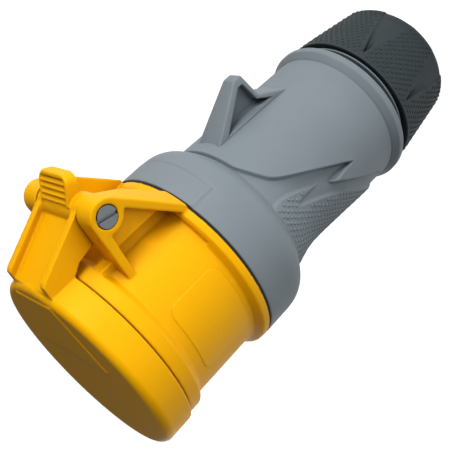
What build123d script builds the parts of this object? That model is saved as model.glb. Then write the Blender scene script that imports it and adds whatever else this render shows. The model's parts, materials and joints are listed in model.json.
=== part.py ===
from build123d import *

import math
import os

# An industrial cable coupler: a two-pole and earth socket with a sprung lid, made to be wired to
# the end of a flexible cable. All sizes are in millimetres. It stands on the open end of its gland
# nut, with its axis along Z, the lid on top and the hinge on the -Y side.

# Lengths along the axis, from the standing end upwards
nut_height = 29.0
thread_gap = 3.5
heel_height = 3.0
heel_bevel = 2.2
handle_height = 79.5
ring_height = 11.0
shoulder_height = 8.6
body_gasket_thickness = 0.8
collar_height = 35.2
bead_height = 4.8
flange_height = 2.4
flange_cone_height = 1.4
lid_gap = 0.25
lid_height = 10.2
root_overlap = 1.0

# Outer radii
body_radius = 32.5
bead_inset = 1.0
bead_radius = body_radius - bead_inset
flange_overhang = 3.0
collar_radius = body_radius - flange_overhang
barrel_front_radius = 26.9
barrel_rear_radius = 25.3
heel_radius = 27.3
nut_front_radius = 26.0
nut_rear_radius = 22.7
nut_rear_round = 3.0
mouth_round = 0.8
heel_round = 0.8
heel_lip = 0.5

# Socket, made for a plug with a 50.5 mm shroud round a 36 mm tower
shroud_diameter = 50.5
shroud_clearance = 1.1
socket_radius = (shroud_diameter + shroud_clearance) / 2
socket_depth = 40.0
tower_radius = 18.0
tower_recess = 4.5
keyway_width = 6.5
keyway_depth = 2.0
keyway_length = 36.0
tower_round = 0.8

# Contacts: three on one circle. Angles run clockwise from the hinge, seen from the front
contact_circle_radius = 10.2
earth_angle = 120.0
line_angles = (240.0, 0.0)
line_pin_diameter = 5.0
earth_pin_diameter = 7.0
contact_fit = 0.06
sleeve_wall = 1.1
finger_hole_clearance = 0.5
finger_hole_lip = 1.0
contact_slot_width = 0.6
contact_slot_length = 14.0
contact_flange_overhang = 1.6
contact_flange_height = 2.2
contact_tail_overhang = 1.0
contact_tail_length = 14.0
contact_bore_depth = 34.0
wire_bore_diameter = 4.0
wire_bore_depth = 10.0
spring_ring_thickness = 0.6
spring_ring_height = 2.4
spring_ring_drop = 4.0
seat_clearance = 0.2

# Carrier that holds the contacts, and the plate behind it
carrier_flange_height = 5.0
carrier_blind_wall = 1.0
retainer_height = 3.0
retainer_screw_angles = (60.0, 300.0)
retainer_screw_radius = 1.5
retainer_screw_head_radius = 2.8
retainer_screw_head_height = 1.8
retainer_screw_length = 6.5

# Terminal screws in the contact tails
terminal_screw_radius = 1.6
terminal_screw_length = 5.0
terminal_head_radius = 2.4
terminal_head_height = 1.6
terminal_screw_rise = 4.0
screw_slot_width = 0.7
screw_slot_depth = 0.8

# Joint between the collar and the rear housing: a short spigot with bayonet lugs
seam_face_width = 2.6
spigot_radius = body_radius - seam_face_width
spigot_wall = 2.2
spigot_clearance = 0.2
lug_height = 3.0
lug_reach = 1.2
lug_rise = 3.6
lug_angle = 24.0
lug_count = 4
lug_clearance = 0.2
lug_slot_margin = 2.0
body_gasket_inset = 0.4

# Wall inside the rear housing
carrier_ledge_width = 3.2
shoulder_bore_depth = 5.5
chamber_radius = 20.6
chamber_top_drop = 25.0
chamber_floor_rise = 12.5
throat_radius = 13.0
throat_height = 2.0

# Grip of the rear housing
waist_front_radius = 25.4
waist_radius = 23.4
waist_rear_radius = 24.7
waist_drop = 36.0
pad_top_rise = 1.5
waist_rear_drop = 58.0
pad_thickness = 0.6
panel_thickness = 0.25
neck_outer_step = 2.4
neck_inner_step = 0.8
neck_foot_drop = 2.6
neck_bend_drop = 0.9
shoulder_bulge_inset = 1.7
shoulder_bulge_share = 0.6

# Fin on the back of the handle
fin_base_half_width = 5.4
fin_top_half_width = 2.6
fin_web_half_width = 0.9

# Hinge
pin_reach = 42.0
pin_drop = 13.7
pin_radius = 1.75
pin_head_radius = 3.15
pin_head_height = 1.8
pin_head_clearance = 0.2
pin_slot_width = 1.0
pin_slot_depth = 0.9
pin_slot_angle = 11.5
pin_end_wall = 1.6
pin_fixed_clearance = 0.03
pin_running_clearance = 0.08
ear_gap = 22.6
ear_width = 7.35
ear_web_width = 4.2
ear_boss_radius = 5.2
arm_slope_angle = 30.4

# Lid
lid_edge_round = 2.6
lid_wall = 2.4
lid_skirt_wall = 2.5
lid_gasket_width = 4.2
lever_root_inset = 0.1
lid_gasket_height = 3.1
lid_gasket_lift = 0.1
gasket_rib_width = 1.1
gasket_rib_lift = 1.0
lever_half_width = 11.0
lever_rib_width = 2.6
lever_rib_rise = 2.5
knuckle_radius = 4.9
knuckle_cut_drop = 2.3
rib_front_overhang = 2.1
rib_corner_overhang = 3.0
cheek_low_inset = 1.3
cheek_bend_overhang = 0.7
cheek_rear_overhang = 2.0
rib_end_overhang = 3.2
rib_end_rise = 3.7
tab_tip_overhang = 11.4
tab_tip_fall = 0.9
tab_back_overhang = 10.4
tab_back_fall = 3.6
tab_waist_overhang = 6.5
tab_waist_fall = 2.4
tab_foot_overhang = 3.6
tab_foot_fall = 1.5
tab_half_width = 7.5
tab_ridge_count = 5
tab_ridge_pitch = 1.75
tab_ridge_rise = 0.6
tab_ridge_margin = 1.0
tab_first_ridge = 0.6
face_panel_rise = 0.35
face_panel_inset = 4.1

# Torsion spring of the lid
spring_wire_radius = 0.55
spring_coil_radius = 3.0
spring_half_width = 3.6
spring_turns = 3
spring_pocket_clearance = 0.5
leg_up_overhang = 8.7
leg_up_fall = 3.9
leg_back_lift = 0.5

# Cable gland
thread_radius = 23.0
thread_clearance = 0.4
thread_depth = 0.6
nut_step_gap = 0.3
gland_bore_radius = 16.8
gland_fit = 0.2
spigot_length = 19.0
cable_entry_radius = 11.0
nut_end_wall = 4.0
thrust_ring_radius = 17.6
thrust_ring_height = 8.0
thrust_ring_lift = 0.1
thrust_cone_small_radius = 12.4
thrust_cone_large_radius = 16.2
claw_clearance = 0.35
claw_count = 8
claw_slot_width = 1.4
claw_slot_reach = 12.4
claw_wall = 2.2
claw_ring_height = 2.6
claw_tip_rise = 5.6
seal_inner_radius = 6.5
seal_height = 12.0
seal_chamfer = 2.0

# Radii that follow from the ring
spigot_bore_radius = spigot_radius - spigot_wall
carrier_flange_radius = spigot_bore_radius - seat_clearance
shoulder_bore_radius = carrier_flange_radius - carrier_ledge_width
retainer_screw_circle_radius = shoulder_bore_radius - retainer_screw_head_radius
gasket_wall_radius = body_radius - lid_skirt_wall
lid_gasket_outer_radius = gasket_wall_radius - seat_clearance
lid_gasket_inner_radius = lid_gasket_outer_radius - lid_gasket_width

# Heights that follow from the lengths
heel_z = nut_height + thread_gap
seam_z = heel_z + handle_height
shoulder_z = seam_z - ring_height
neck_z = shoulder_z - shoulder_height
collar_foot_z = seam_z + body_gasket_thickness
flange_top_z = collar_foot_z + flange_height
mouth_z = collar_foot_z + collar_height
bead_z = mouth_z - bead_height
carrier_seat_z = mouth_z - socket_depth
tower_z = mouth_z - tower_recess
carrier_foot_z = carrier_seat_z - carrier_flange_height
retainer_z = carrier_foot_z - retainer_height
lid_rim_z = mouth_z + lid_gap
lid_top_z = lid_rim_z + lid_height
lid_seat_z = mouth_z + lid_gasket_lift + lid_gasket_height
pin_z = mouth_z - pin_drop
spigot_z = heel_z - spigot_length
nut_step_z = spigot_z - nut_step_gap
ear_inner = ear_gap / 2
ear_outer = ear_inner + ear_width
pin_plane = Plane(origin=(0, -pin_reach, pin_z), x_dir=(0, 1, 0), z_dir=(1, 0, 0))


def near_mouth(reach, drop):
    """A side-view point: its reach from the axis towards the hinge, and its drop below the mouth."""
    return (-reach, mouth_z - drop)


def below_seam(reach, drop):
    """A side-view point on the handle: its reach towards the hinge, and its drop below the seam."""
    return (-reach, seam_z - drop)


def on_circle(angle, radius):
    """A place on a circle, its angle clockwise from the hinge, seen from the front."""
    turn = math.radians(angle)
    return (-radius * math.sin(turn), -radius * math.cos(turn))


# Ears of the hinge: a full triangle between boss, upper arm and foot, hollowed from outside
ear_foot_drop = 9.6
ear_arm_thickness = 2.3
ear_depth_reach = 17.0
slope = math.tan(math.radians(arm_slope_angle))
arm_start = (
    pin_reach + ear_boss_radius * math.cos(math.radians(arm_slope_angle)),
    pin_drop + ear_boss_radius * math.sin(math.radians(arm_slope_angle)),
)
arm_end_drop = mouth_z - collar_foot_z
arm_end = (arm_start[0] - slope * (arm_end_drop - arm_start[1]), arm_end_drop)
pocket_top = (40.4, 19.3)
pocket_rear = (26.0, 34.0)
pocket_front_drop = ear_foot_drop + ear_arm_thickness
fairing_reach = 32.4
fairing_spread = 22.5
fairing_mid = (17.3, 24.9)
roof_cone_top = (49.4, 17.4)
roof_cone_slope = 0.882

with BuildPart() as ears:
    for side in (-1, 1):
        with BuildSketch(Plane.YZ.offset(side * ear_inner)):
            with BuildLine():
                Polyline(
                    near_mouth(pin_reach, pin_drop - ear_boss_radius),
                    near_mouth(ear_depth_reach, ear_foot_drop),
                    near_mouth(ear_depth_reach, arm_end_drop),
                    near_mouth(*arm_end),
                    near_mouth(*arm_start),
                    near_mouth(pin_reach, pin_drop),
                    close=True,
                )
            make_face()
        extrude(amount=side * ear_width)
    for side in (-1, 1):
        with BuildSketch(Plane.YZ.offset(side * (ear_inner + ear_web_width))):
            with BuildLine():
                Polyline(
                    near_mouth(*pocket_top),
                    near_mouth(*pocket_rear),
                    near_mouth(ear_depth_reach, pocket_rear[1]),
                    near_mouth(ear_depth_reach, pocket_front_drop),
                    near_mouth(pin_reach - ear_boss_radius, pocket_front_drop),
                    close=True,
                )
            make_face()
        extrude(amount=side * ear_width, mode=Mode.SUBTRACT)
    for side in (-1, 1):
        web_face = ear_inner + ear_web_width
        with BuildSketch(Plane.XY.offset(mouth_z - pocket_rear[1])):
            with BuildLine():
                ThreePointArc(
                    (side * web_face, -fairing_reach),
                    (side * fairing_mid[0], -fairing_mid[1]),
                    (side * fairing_spread, -ear_depth_reach),
                )
                Polyline(
                    (side * fairing_spread, -ear_depth_reach),
                    (side * ear_inner, -ear_depth_reach),
                    (side * ear_inner, -fairing_reach),
                    (side * web_face, -fairing_reach),
                )
            make_face()
        extrude(amount=pocket_rear[1] - ear_foot_drop)
    for side in (-1, 1):
        with BuildSketch(pin_plane.offset(side * ear_inner)):
            Circle(ear_boss_radius)
        extrude(amount=side * ear_width)
    with BuildSketch(Plane.XZ):
        with BuildLine():
            Polyline(
                (collar_radius - root_overlap, mouth_z),
                (roof_cone_top[0] + roof_cone_slope * roof_cone_top[1], mouth_z),
                (
                    roof_cone_top[0] - roof_cone_slope * (arm_end_drop - roof_cone_top[1]),
                    collar_foot_z,
                ),
                (collar_radius - root_overlap, collar_foot_z),
                close=True,
            )
        make_face()
    revolve(axis=Axis.Z, mode=Mode.INTERSECT)


# Front collar: the tube that takes the plug, with bead, flange, spigot, ears and label panels
label_panel_front_drop = 10.2
label_panel_rear_drop = 29.8
label_panel_top_reach = 12.9
label_panel_bottom_reach = -11.4
label_panel_corner = 3.0
foot_rib_inner = 9.6
foot_rib_outer = 14.6
foot_rib_reach = 28.6
lug_z = retainer_z + lug_rise

with BuildPart() as label_panels:
    with BuildSketch(Plane.XY.offset(carrier_seat_z)):
        Circle(collar_radius + panel_thickness)
        Circle(collar_radius - root_overlap, mode=Mode.SUBTRACT)
    extrude(amount=socket_depth)
    with BuildSketch(Plane.YZ):
        with BuildLine():
            Polyline(
                near_mouth(label_panel_top_reach, label_panel_front_drop),
                near_mouth(label_panel_top_reach, label_panel_rear_drop),
                near_mouth(label_panel_bottom_reach, label_panel_rear_drop),
                near_mouth(label_panel_bottom_reach, label_panel_front_drop),
                close=True,
            )
        outline = make_face()
        fillet(outline.vertices(), label_panel_corner)
    extrude(amount=body_radius, both=True, mode=Mode.INTERSECT)

with BuildPart() as front_collar:
    with BuildSketch(Plane.XZ):
        with BuildLine():
            Polyline(
                (0, mouth_z),
                (bead_radius, mouth_z),
                (bead_radius, bead_z),
                (collar_radius, bead_z - (bead_radius - collar_radius)),
                (collar_radius, flange_top_z + flange_cone_height),
                (body_radius - panel_thickness, flange_top_z),
                (body_radius, collar_foot_z),
                (spigot_radius, collar_foot_z),
                (spigot_radius, retainer_z),
                (0, retainer_z),
                close=True,
            )
        make_face()
    revolve(axis=Axis.Z)
    fillet(front_collar.edges().filter_by(GeomType.CIRCLE).group_by(Axis.Z)[-1], mouth_round)
    add(label_panels.part)
    add(ears.part)
    with BuildSketch(Plane.XY.offset(mouth_z - ear_foot_drop - ear_arm_thickness / 2)):
        with Locations(
            ((foot_rib_inner + foot_rib_outer) / 2, -(foot_rib_reach + ear_depth_reach) / 2),
            (-(foot_rib_inner + foot_rib_outer) / 2, -(foot_rib_reach + ear_depth_reach) / 2),
        ):
            Rectangle(foot_rib_outer - foot_rib_inner, foot_rib_reach - ear_depth_reach)
    extrude(amount=ear_foot_drop + ear_arm_thickness / 2 - bead_height)
    with BuildSketch(Plane.XY.offset(lug_z)):
        Circle(spigot_radius + lug_reach)
        Circle(spigot_radius - root_overlap, mode=Mode.SUBTRACT)
        with BuildSketch(mode=Mode.INTERSECT):
            with PolarLocations(0, lug_count):
                with BuildLine():
                    lug_edge = PolarLine((0, 0), 2 * body_radius, -lug_angle / 2)
                    Line(lug_edge @ 1, Vector(2 * body_radius, 0).rotate(Axis.Z, lug_angle / 2))
                    PolarLine((0, 0), 2 * body_radius, lug_angle / 2)
                make_face()
    extrude(amount=lug_height)
    with BuildSketch(Plane.XY.offset(carrier_seat_z)):
        Circle(socket_radius)
    extrude(amount=socket_depth, mode=Mode.SUBTRACT)
    with BuildSketch(Plane.XY.offset(retainer_z)):
        Circle(spigot_bore_radius)
    extrude(amount=carrier_seat_z - retainer_z, mode=Mode.SUBTRACT)
    with BuildSketch(Plane.XY.offset(mouth_z - keyway_length)):
        with Locations((0, socket_radius)):
            Rectangle(keyway_width, 2 * keyway_depth)
    extrude(amount=keyway_length, mode=Mode.SUBTRACT)
    with BuildSketch(pin_plane.offset(-ear_outer)):
        Circle(pin_radius + pin_fixed_clearance)
    extrude(amount=2 * ear_outer - pin_end_wall, mode=Mode.SUBTRACT)
    with BuildSketch(pin_plane.offset(-ear_outer)):
        Circle(pin_head_radius + pin_head_clearance)
    extrude(amount=pin_head_height, mode=Mode.SUBTRACT)

# Lid: a cap with a gasket channel, a lever of two ribs and a plate, knuckles and a thumb tab
rib_front_drop = -9.0
rib_front_reach = body_radius + rib_front_overhang
rib_corner_reach = body_radius + rib_corner_overhang
rib_corner_drop = -8.2
rib_end_reach = pin_reach + rib_end_overhang
rib_end_drop = pin_drop - rib_end_rise
lever_root_drop = 0.3
cheek_low_reach = body_radius - cheek_low_inset
cheek_bend_reach = body_radius + cheek_bend_overhang
cheek_bend_drop = 3.0
cheek_rear_reach = body_radius + cheek_rear_overhang
cheek_rear_drop = 9.5
plate_thickness = 3.0
tab_tip_reach = pin_reach + tab_tip_overhang
tab_tip_drop = pin_drop + tab_tip_fall
tab_back_reach = pin_reach + tab_back_overhang
tab_back_drop = pin_drop + tab_back_fall
tab_waist_reach = pin_reach + tab_waist_overhang
tab_waist_drop = pin_drop + tab_waist_fall
tab_foot_reach = pin_reach + tab_foot_overhang
tab_foot_drop = pin_drop + tab_foot_fall
tab_ridge_height = 0.8
face_panel_top_reach = body_radius - face_panel_inset
face_panel_top_half_width = 9.7
face_panel_bottom_reach = 6.0
face_panel_bottom_half_width = 18.0
spring_pocket_radius = spring_coil_radius + spring_wire_radius + spring_pocket_clearance
spring_room = spring_half_width + spring_wire_radius + spring_pocket_clearance
lever_root_reach = gasket_wall_radius + lever_root_inset
gasket_rib_outer = lid_gasket_inner_radius - seat_clearance
gasket_rib_inner = gasket_rib_outer - gasket_rib_width
tab_lean = math.atan2(tab_tip_reach - rib_end_reach, tab_tip_drop - rib_end_drop)

with BuildPart() as hinged_lid:
    with BuildSketch(Plane.XZ):
        with BuildLine():
            Polyline(
                (0, lid_top_z),
                (body_radius, lid_top_z),
                (body_radius, lid_rim_z),
                (gasket_wall_radius, lid_rim_z),
                (gasket_wall_radius, lid_seat_z),
                (gasket_rib_outer, lid_seat_z),
                (gasket_rib_outer, lid_rim_z + gasket_rib_lift),
                (gasket_rib_inner, lid_rim_z + gasket_rib_lift),
                (gasket_rib_inner, lid_top_z - lid_wall),
                (0, lid_top_z - lid_wall),
                close=True,
            )
        make_face()
    revolve(axis=Axis.Z)
    fillet(hinged_lid.edges().filter_by(GeomType.CIRCLE).group_by(Axis.Z)[-1], lid_edge_round)
    for side in (-1, 1):
        with BuildSketch(Plane.YZ.offset(side * (lever_half_width - lever_rib_width))):
            with BuildLine():
                Polyline(
                    near_mouth(lever_root_reach, rib_front_drop),
                    near_mouth(rib_front_reach, rib_front_drop),
                    near_mouth(rib_corner_reach, rib_corner_drop),
                    near_mouth(rib_end_reach, rib_end_drop),
                    near_mouth(pin_reach, pin_drop),
                    near_mouth(pin_reach - knuckle_radius, pin_drop),
                    near_mouth(cheek_rear_reach, cheek_rear_drop),
                    near_mouth(cheek_bend_reach, cheek_bend_drop),
                    near_mouth(cheek_low_reach, lever_root_drop),
                    near_mouth(cheek_low_reach, -lid_gap),
                    near_mouth(lever_root_reach, -lid_gap),
                    close=True,
                )
            make_face()
        extrude(amount=side * lever_rib_width)
    with BuildSketch(Plane.YZ):
        with BuildLine():
            Polyline(
                near_mouth(lever_root_reach, rib_front_drop),
                near_mouth(rib_front_reach - lever_rib_rise, rib_front_drop),
                near_mouth(rib_end_reach - lever_rib_rise, rib_end_drop),
                near_mouth(pin_reach, pin_drop),
                near_mouth(rib_end_reach - lever_rib_rise - plate_thickness, rib_end_drop),
                near_mouth(cheek_bend_reach, lever_root_drop),
                near_mouth(cheek_bend_reach, -lid_gap),
                near_mouth(lever_root_reach, -lid_gap),
                close=True,
            )
        make_face()
    extrude(amount=lever_half_width - lever_rib_width, both=True)
    with BuildSketch(pin_plane.offset(-lever_half_width)):
        Circle(knuckle_radius)
    extrude(amount=2 * lever_half_width)
    with BuildSketch(Plane.YZ):
        with BuildLine():
            Polyline(
                near_mouth(pin_reach, rib_end_drop),
                near_mouth(rib_end_reach, rib_end_drop),
                near_mouth(tab_tip_reach, tab_tip_drop),
                near_mouth(tab_back_reach, tab_back_drop),
                near_mouth(tab_waist_reach, tab_waist_drop),
                near_mouth(tab_foot_reach, tab_foot_drop),
                near_mouth(pin_reach, pin_drop),
                close=True,
            )
        make_face()
    extrude(amount=tab_half_width, both=True)
    for ridge in range(tab_ridge_count):
        along = (ridge + tab_first_ridge) * tab_ridge_pitch
        foot_reach = rib_end_reach + along * math.sin(tab_lean)
        foot_drop = rib_end_drop + along * math.cos(tab_lean)
        head_reach = foot_reach + tab_ridge_height * math.sin(tab_lean)
        head_drop = foot_drop + tab_ridge_height * math.cos(tab_lean)
        with BuildSketch(Plane.YZ):
            with BuildLine():
                Polyline(
                    near_mouth(foot_reach, foot_drop + tab_ridge_rise),
                    near_mouth(foot_reach, foot_drop),
                    near_mouth(
                        foot_reach + tab_ridge_rise * math.cos(tab_lean),
                        foot_drop - tab_ridge_rise * math.sin(tab_lean),
                    ),
                    near_mouth(head_reach, head_drop),
                    near_mouth(head_reach, head_drop + tab_ridge_rise),
                    close=True,
                )
            make_face()
        extrude(amount=tab_half_width - tab_ridge_margin, both=True)
    with BuildSketch(Plane.XY.offset(lid_top_z)):
        with BuildLine():
            Polyline(
                (-face_panel_top_half_width, -face_panel_top_reach),
                (face_panel_top_half_width, -face_panel_top_reach),
                (face_panel_bottom_half_width, -face_panel_bottom_reach),
                (-face_panel_bottom_half_width, -face_panel_bottom_reach),
                close=True,
            )
        make_face()
    extrude(amount=face_panel_rise)
    with BuildSketch(pin_plane.offset(-spring_room)):
        Circle(spring_pocket_radius)
    extrude(amount=2 * spring_room, mode=Mode.SUBTRACT)
    with BuildSketch(Plane.XY.offset(pin_z - knuckle_cut_drop)):
        with Locations((0, -pin_reach)):
            Rectangle(2 * spring_room, 2 * knuckle_radius)
    extrude(amount=knuckle_cut_drop - knuckle_radius, mode=Mode.SUBTRACT)
    with BuildSketch(pin_plane.offset(-lever_half_width)):
        Circle(pin_radius + pin_running_clearance)
    extrude(amount=2 * lever_half_width, mode=Mode.SUBTRACT)

with BuildPart() as lid_gasket:
    with BuildSketch(Plane.XY.offset(mouth_z + lid_gasket_lift)):
        Circle(lid_gasket_outer_radius)
        Circle(lid_gasket_inner_radius, mode=Mode.SUBTRACT)
    extrude(amount=lid_gasket_height)

# Hinge pin: a slotted countersunk screw whose plain end sits blind in the far ear
with BuildPart() as hinge_pin:
    with BuildSketch(pin_plane.offset(-ear_outer)):
        Circle(pin_radius)
    extrude(amount=2 * ear_outer - pin_end_wall)
    with BuildSketch(pin_plane.offset(-ear_outer)):
        Circle(pin_head_radius)
    extrude(amount=pin_head_height)
    with BuildSketch(pin_plane.offset(-ear_outer)):
        Rectangle(2 * body_radius, pin_slot_width, rotation=90 + pin_slot_angle)
    extrude(amount=pin_slot_depth, mode=Mode.SUBTRACT)

# Lid spring: a torsion coil round the pin, one leg up the back of the tab, one down to the collar
leg_up_reach = pin_reach + leg_up_overhang
leg_up_drop = pin_drop + leg_up_fall
leg_back_reach = collar_radius + leg_back_lift
leg_back_drop = 27.0


def tangent_turn(reach, drop, hand):
    """Angle on the coil, from the rearward direction towards the hinge, where a leg touches it."""
    rearward = drop - pin_drop
    outward = reach - pin_reach
    distance = math.hypot(rearward, outward)
    swing = math.acos(spring_coil_radius / distance)
    return math.atan2(outward, rearward) + hand * swing


def on_coil(turn):
    """Side-view point of the coil's centre line at an angle."""
    return near_mouth(
        pin_reach + spring_coil_radius * math.sin(turn),
        pin_drop + spring_coil_radius * math.cos(turn),
    )


up_turn = tangent_turn(leg_up_reach, leg_up_drop, -1)
back_turn = tangent_turn(leg_back_reach, leg_back_drop, 1)
coil_sweep = (up_turn - back_turn) % (2 * math.pi) + 2 * math.pi * spring_turns
coil_start = on_coil(back_turn)
start_direction = (0, coil_start[0] + pin_reach, coil_start[1] - pin_z)

coil_plane = Plane(
    origin=(-spring_half_width, -pin_reach, pin_z), x_dir=start_direction, z_dir=(1, 0, 0)
)
coil = coil_plane * Helix(
    pitch=2 * spring_half_width / (coil_sweep / (2 * math.pi)),
    height=2 * spring_half_width,
    radius=spring_coil_radius,
    lefthand=True,
)
leg_back_length = math.dist(coil_start, near_mouth(leg_back_reach, leg_back_drop))
leg_up_length = math.dist(on_coil(up_turn), near_mouth(leg_up_reach, leg_up_drop))

with BuildPart() as lid_spring:
    with BuildSketch(Plane(origin=coil @ 0, z_dir=coil % 0)):
        Circle(spring_wire_radius)
    sweep(path=coil, is_frenet=True)
    with BuildSketch(Plane(origin=coil @ 0, z_dir=coil % 0)):
        Circle(spring_wire_radius)
    extrude(amount=-leg_back_length)
    with BuildSketch(Plane(origin=coil @ 1, z_dir=coil % 1)):
        Circle(spring_wire_radius)
    extrude(amount=leg_up_length)

# Contact carrier: the tower with its contact holes, and the flange behind it
earth_sleeve_radius = earth_pin_diameter / 2 + contact_fit / 2 + sleeve_wall
line_sleeve_radius = line_pin_diameter / 2 + contact_fit / 2 + sleeve_wall
contacts = {
    "contact_earth": (earth_angle, earth_pin_diameter, earth_sleeve_radius),
    "contact_line_1": (line_angles[0], line_pin_diameter, line_sleeve_radius),
    "contact_line_2": (line_angles[1], line_pin_diameter, line_sleeve_radius),
}
contact_top_z = tower_z - finger_hole_lip
retainer_screw_places = [
    on_circle(angle, retainer_screw_circle_radius) for angle in retainer_screw_angles
]

with BuildPart() as contact_carrier:
    with BuildSketch(Plane.XY.offset(carrier_foot_z)):
        Circle(carrier_flange_radius)
    extrude(amount=carrier_flange_height)
    with BuildSketch(Plane.XY.offset(carrier_foot_z)):
        Circle(tower_radius)
    extrude(amount=tower_z - carrier_foot_z)
    fillet(contact_carrier.edges().filter_by(GeomType.CIRCLE).group_by(Axis.Z)[-1], tower_round)
    for angle, pin_diameter, sleeve_radius in contacts.values():
        place = on_circle(angle, contact_circle_radius)
        with BuildSketch(Plane.XY.offset(carrier_foot_z)):
            with Locations(place):
                Circle(pin_diameter / 2 + finger_hole_clearance)
        extrude(amount=tower_z - carrier_foot_z, mode=Mode.SUBTRACT)
        with BuildSketch(Plane.XY.offset(carrier_foot_z)):
            with Locations(place):
                Circle(sleeve_radius + spring_ring_thickness + seat_clearance)
        extrude(amount=contact_top_z + seat_clearance - carrier_foot_z, mode=Mode.SUBTRACT)
        with BuildSketch(Plane.XY.offset(carrier_foot_z)):
            with Locations(place):
                Circle(sleeve_radius + contact_flange_overhang + seat_clearance)
        extrude(amount=contact_flange_height, mode=Mode.SUBTRACT)
    with BuildSketch(Plane.XY.offset(carrier_foot_z)):
        with Locations(*retainer_screw_places):
            Circle(retainer_screw_radius)
    extrude(amount=carrier_flange_height - carrier_blind_wall, mode=Mode.SUBTRACT)

# Contacts: turned sleeves with a slotted mouth, a flange in the carrier and a tail with a wire bore


def make_contact(angle, pin_diameter, sleeve_radius):
    """One contact sleeve at its place on the contact circle."""
    place = on_circle(angle, contact_circle_radius)
    tail_radius = sleeve_radius + contact_tail_overhang
    bore_radius = (pin_diameter + contact_fit) / 2
    tail_z = carrier_foot_z - contact_tail_length
    with BuildPart() as contact:
        with BuildSketch(Plane.XY.offset(tail_z)):
            with Locations(place):
                Circle(tail_radius)
        extrude(amount=contact_tail_length)
        with BuildSketch(Plane.XY.offset(carrier_foot_z)):
            with Locations(place):
                Circle(sleeve_radius + contact_flange_overhang)
        extrude(amount=contact_flange_height)
        with BuildSketch(Plane.XY.offset(carrier_foot_z)):
            with Locations(place):
                Circle(sleeve_radius)
        extrude(amount=contact_top_z - carrier_foot_z)
        with BuildSketch(Plane.XY.offset(contact_top_z)):
            with Locations(place):
                Circle(bore_radius)
        extrude(amount=-contact_bore_depth, mode=Mode.SUBTRACT)
        with BuildSketch(Plane.XY.offset(contact_top_z)):
            with Locations(place):
                Rectangle(2 * tail_radius, contact_slot_width, rotation=-angle)
        extrude(amount=-contact_slot_length, mode=Mode.SUBTRACT)
        with BuildSketch(Plane.XY.offset(tail_z)):
            with Locations(place):
                Circle(wire_bore_diameter / 2)
        extrude(amount=wire_bore_depth, mode=Mode.SUBTRACT)
        outward = Vector(*place, 0).normalized()
        screw_z = tail_z + terminal_screw_rise
        with BuildSketch(Plane(origin=(*place, screw_z), z_dir=outward)):
            Circle(terminal_screw_radius)
        extrude(amount=2 * tail_radius, mode=Mode.SUBTRACT)
    return contact.part


contact_parts = {name: make_contact(*values) for name, values in contacts.items()}

# Spring rings that press the slotted mouths of the sleeves together


def make_spring_ring(angle, sleeve_radius):
    """One open spring ring round a sleeve."""
    with BuildPart() as ring:
        with BuildSketch(Plane.XY.offset(contact_top_z - spring_ring_drop)):
            with Locations(on_circle(angle, contact_circle_radius)):
                Circle(sleeve_radius + spring_ring_thickness)
                Circle(sleeve_radius, mode=Mode.SUBTRACT)
            with Locations(on_circle(angle, contact_circle_radius + sleeve_radius)):
                Rectangle(
                    2 * contact_slot_width, sleeve_radius, rotation=-angle, mode=Mode.SUBTRACT
                )
        extrude(amount=-spring_ring_height)
    return ring.part


with BuildPart() as line_spring_rings:
    for angle in line_angles:
        add(make_spring_ring(angle, line_sleeve_radius))

with BuildPart() as earth_spring_ring:
    add(make_spring_ring(earth_angle, earth_sleeve_radius))

# Terminal screws: one in each contact tail, pointing inwards
tail_z = carrier_foot_z - contact_tail_length

with BuildPart() as terminal_screws:
    for angle, pin_diameter, sleeve_radius in contacts.values():
        place = on_circle(angle, contact_circle_radius)
        outward = Vector(*place, 0).normalized()
        tail_radius = sleeve_radius + contact_tail_overhang
        tip = Vector(*place, tail_z + terminal_screw_rise) + outward * (
            tail_radius + seat_clearance - terminal_screw_length
        )
        screw_plane = Plane(origin=tip, z_dir=outward)
        with BuildSketch(screw_plane):
            Circle(terminal_screw_radius)
        extrude(amount=terminal_screw_length)
        with BuildSketch(screw_plane.offset(terminal_screw_length)):
            Circle(terminal_head_radius)
        extrude(amount=terminal_head_height)
        with BuildSketch(screw_plane.offset(terminal_screw_length + terminal_head_height)):
            Rectangle(2 * terminal_head_radius, screw_slot_width)
        extrude(amount=-screw_slot_depth, mode=Mode.SUBTRACT)

# Retainer plate behind the carrier, and the two screws that hold it
with BuildPart() as contact_retainer:
    with BuildSketch(Plane.XY.offset(retainer_z)):
        Circle(carrier_flange_radius)
        for angle, pin_diameter, sleeve_radius in contacts.values():
            with Locations(on_circle(angle, contact_circle_radius)):
                Circle(sleeve_radius + contact_tail_overhang + seat_clearance, mode=Mode.SUBTRACT)
        with Locations(*retainer_screw_places):
            Circle(retainer_screw_radius + seat_clearance, mode=Mode.SUBTRACT)
    extrude(amount=retainer_height)

with BuildPart() as retainer_screws:
    for place in retainer_screw_places:
        with BuildSketch(Plane.XY.offset(retainer_z)):
            with Locations(place):
                Circle(retainer_screw_radius)
        extrude(amount=retainer_screw_length)
        with BuildSketch(Plane.XY.offset(retainer_z)):
            with Locations(place):
                Circle(retainer_screw_head_radius)
        extrude(amount=-retainer_screw_head_height)
        with BuildSketch(Plane.XY.offset(retainer_z - retainer_screw_head_height)):
            with Locations(place):
                Rectangle(2 * retainer_screw_head_radius, screw_slot_width)
        extrude(amount=screw_slot_depth, mode=Mode.SUBTRACT)

# Flat gasket in the seam between the collar and the rear housing
with BuildPart() as body_gasket:
    with BuildSketch(Plane.XY.offset(seam_z)):
        Circle(body_radius - body_gasket_inset)
        Circle(spigot_radius + spigot_clearance, mode=Mode.SUBTRACT)
    extrude(amount=body_gasket_thickness)

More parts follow.
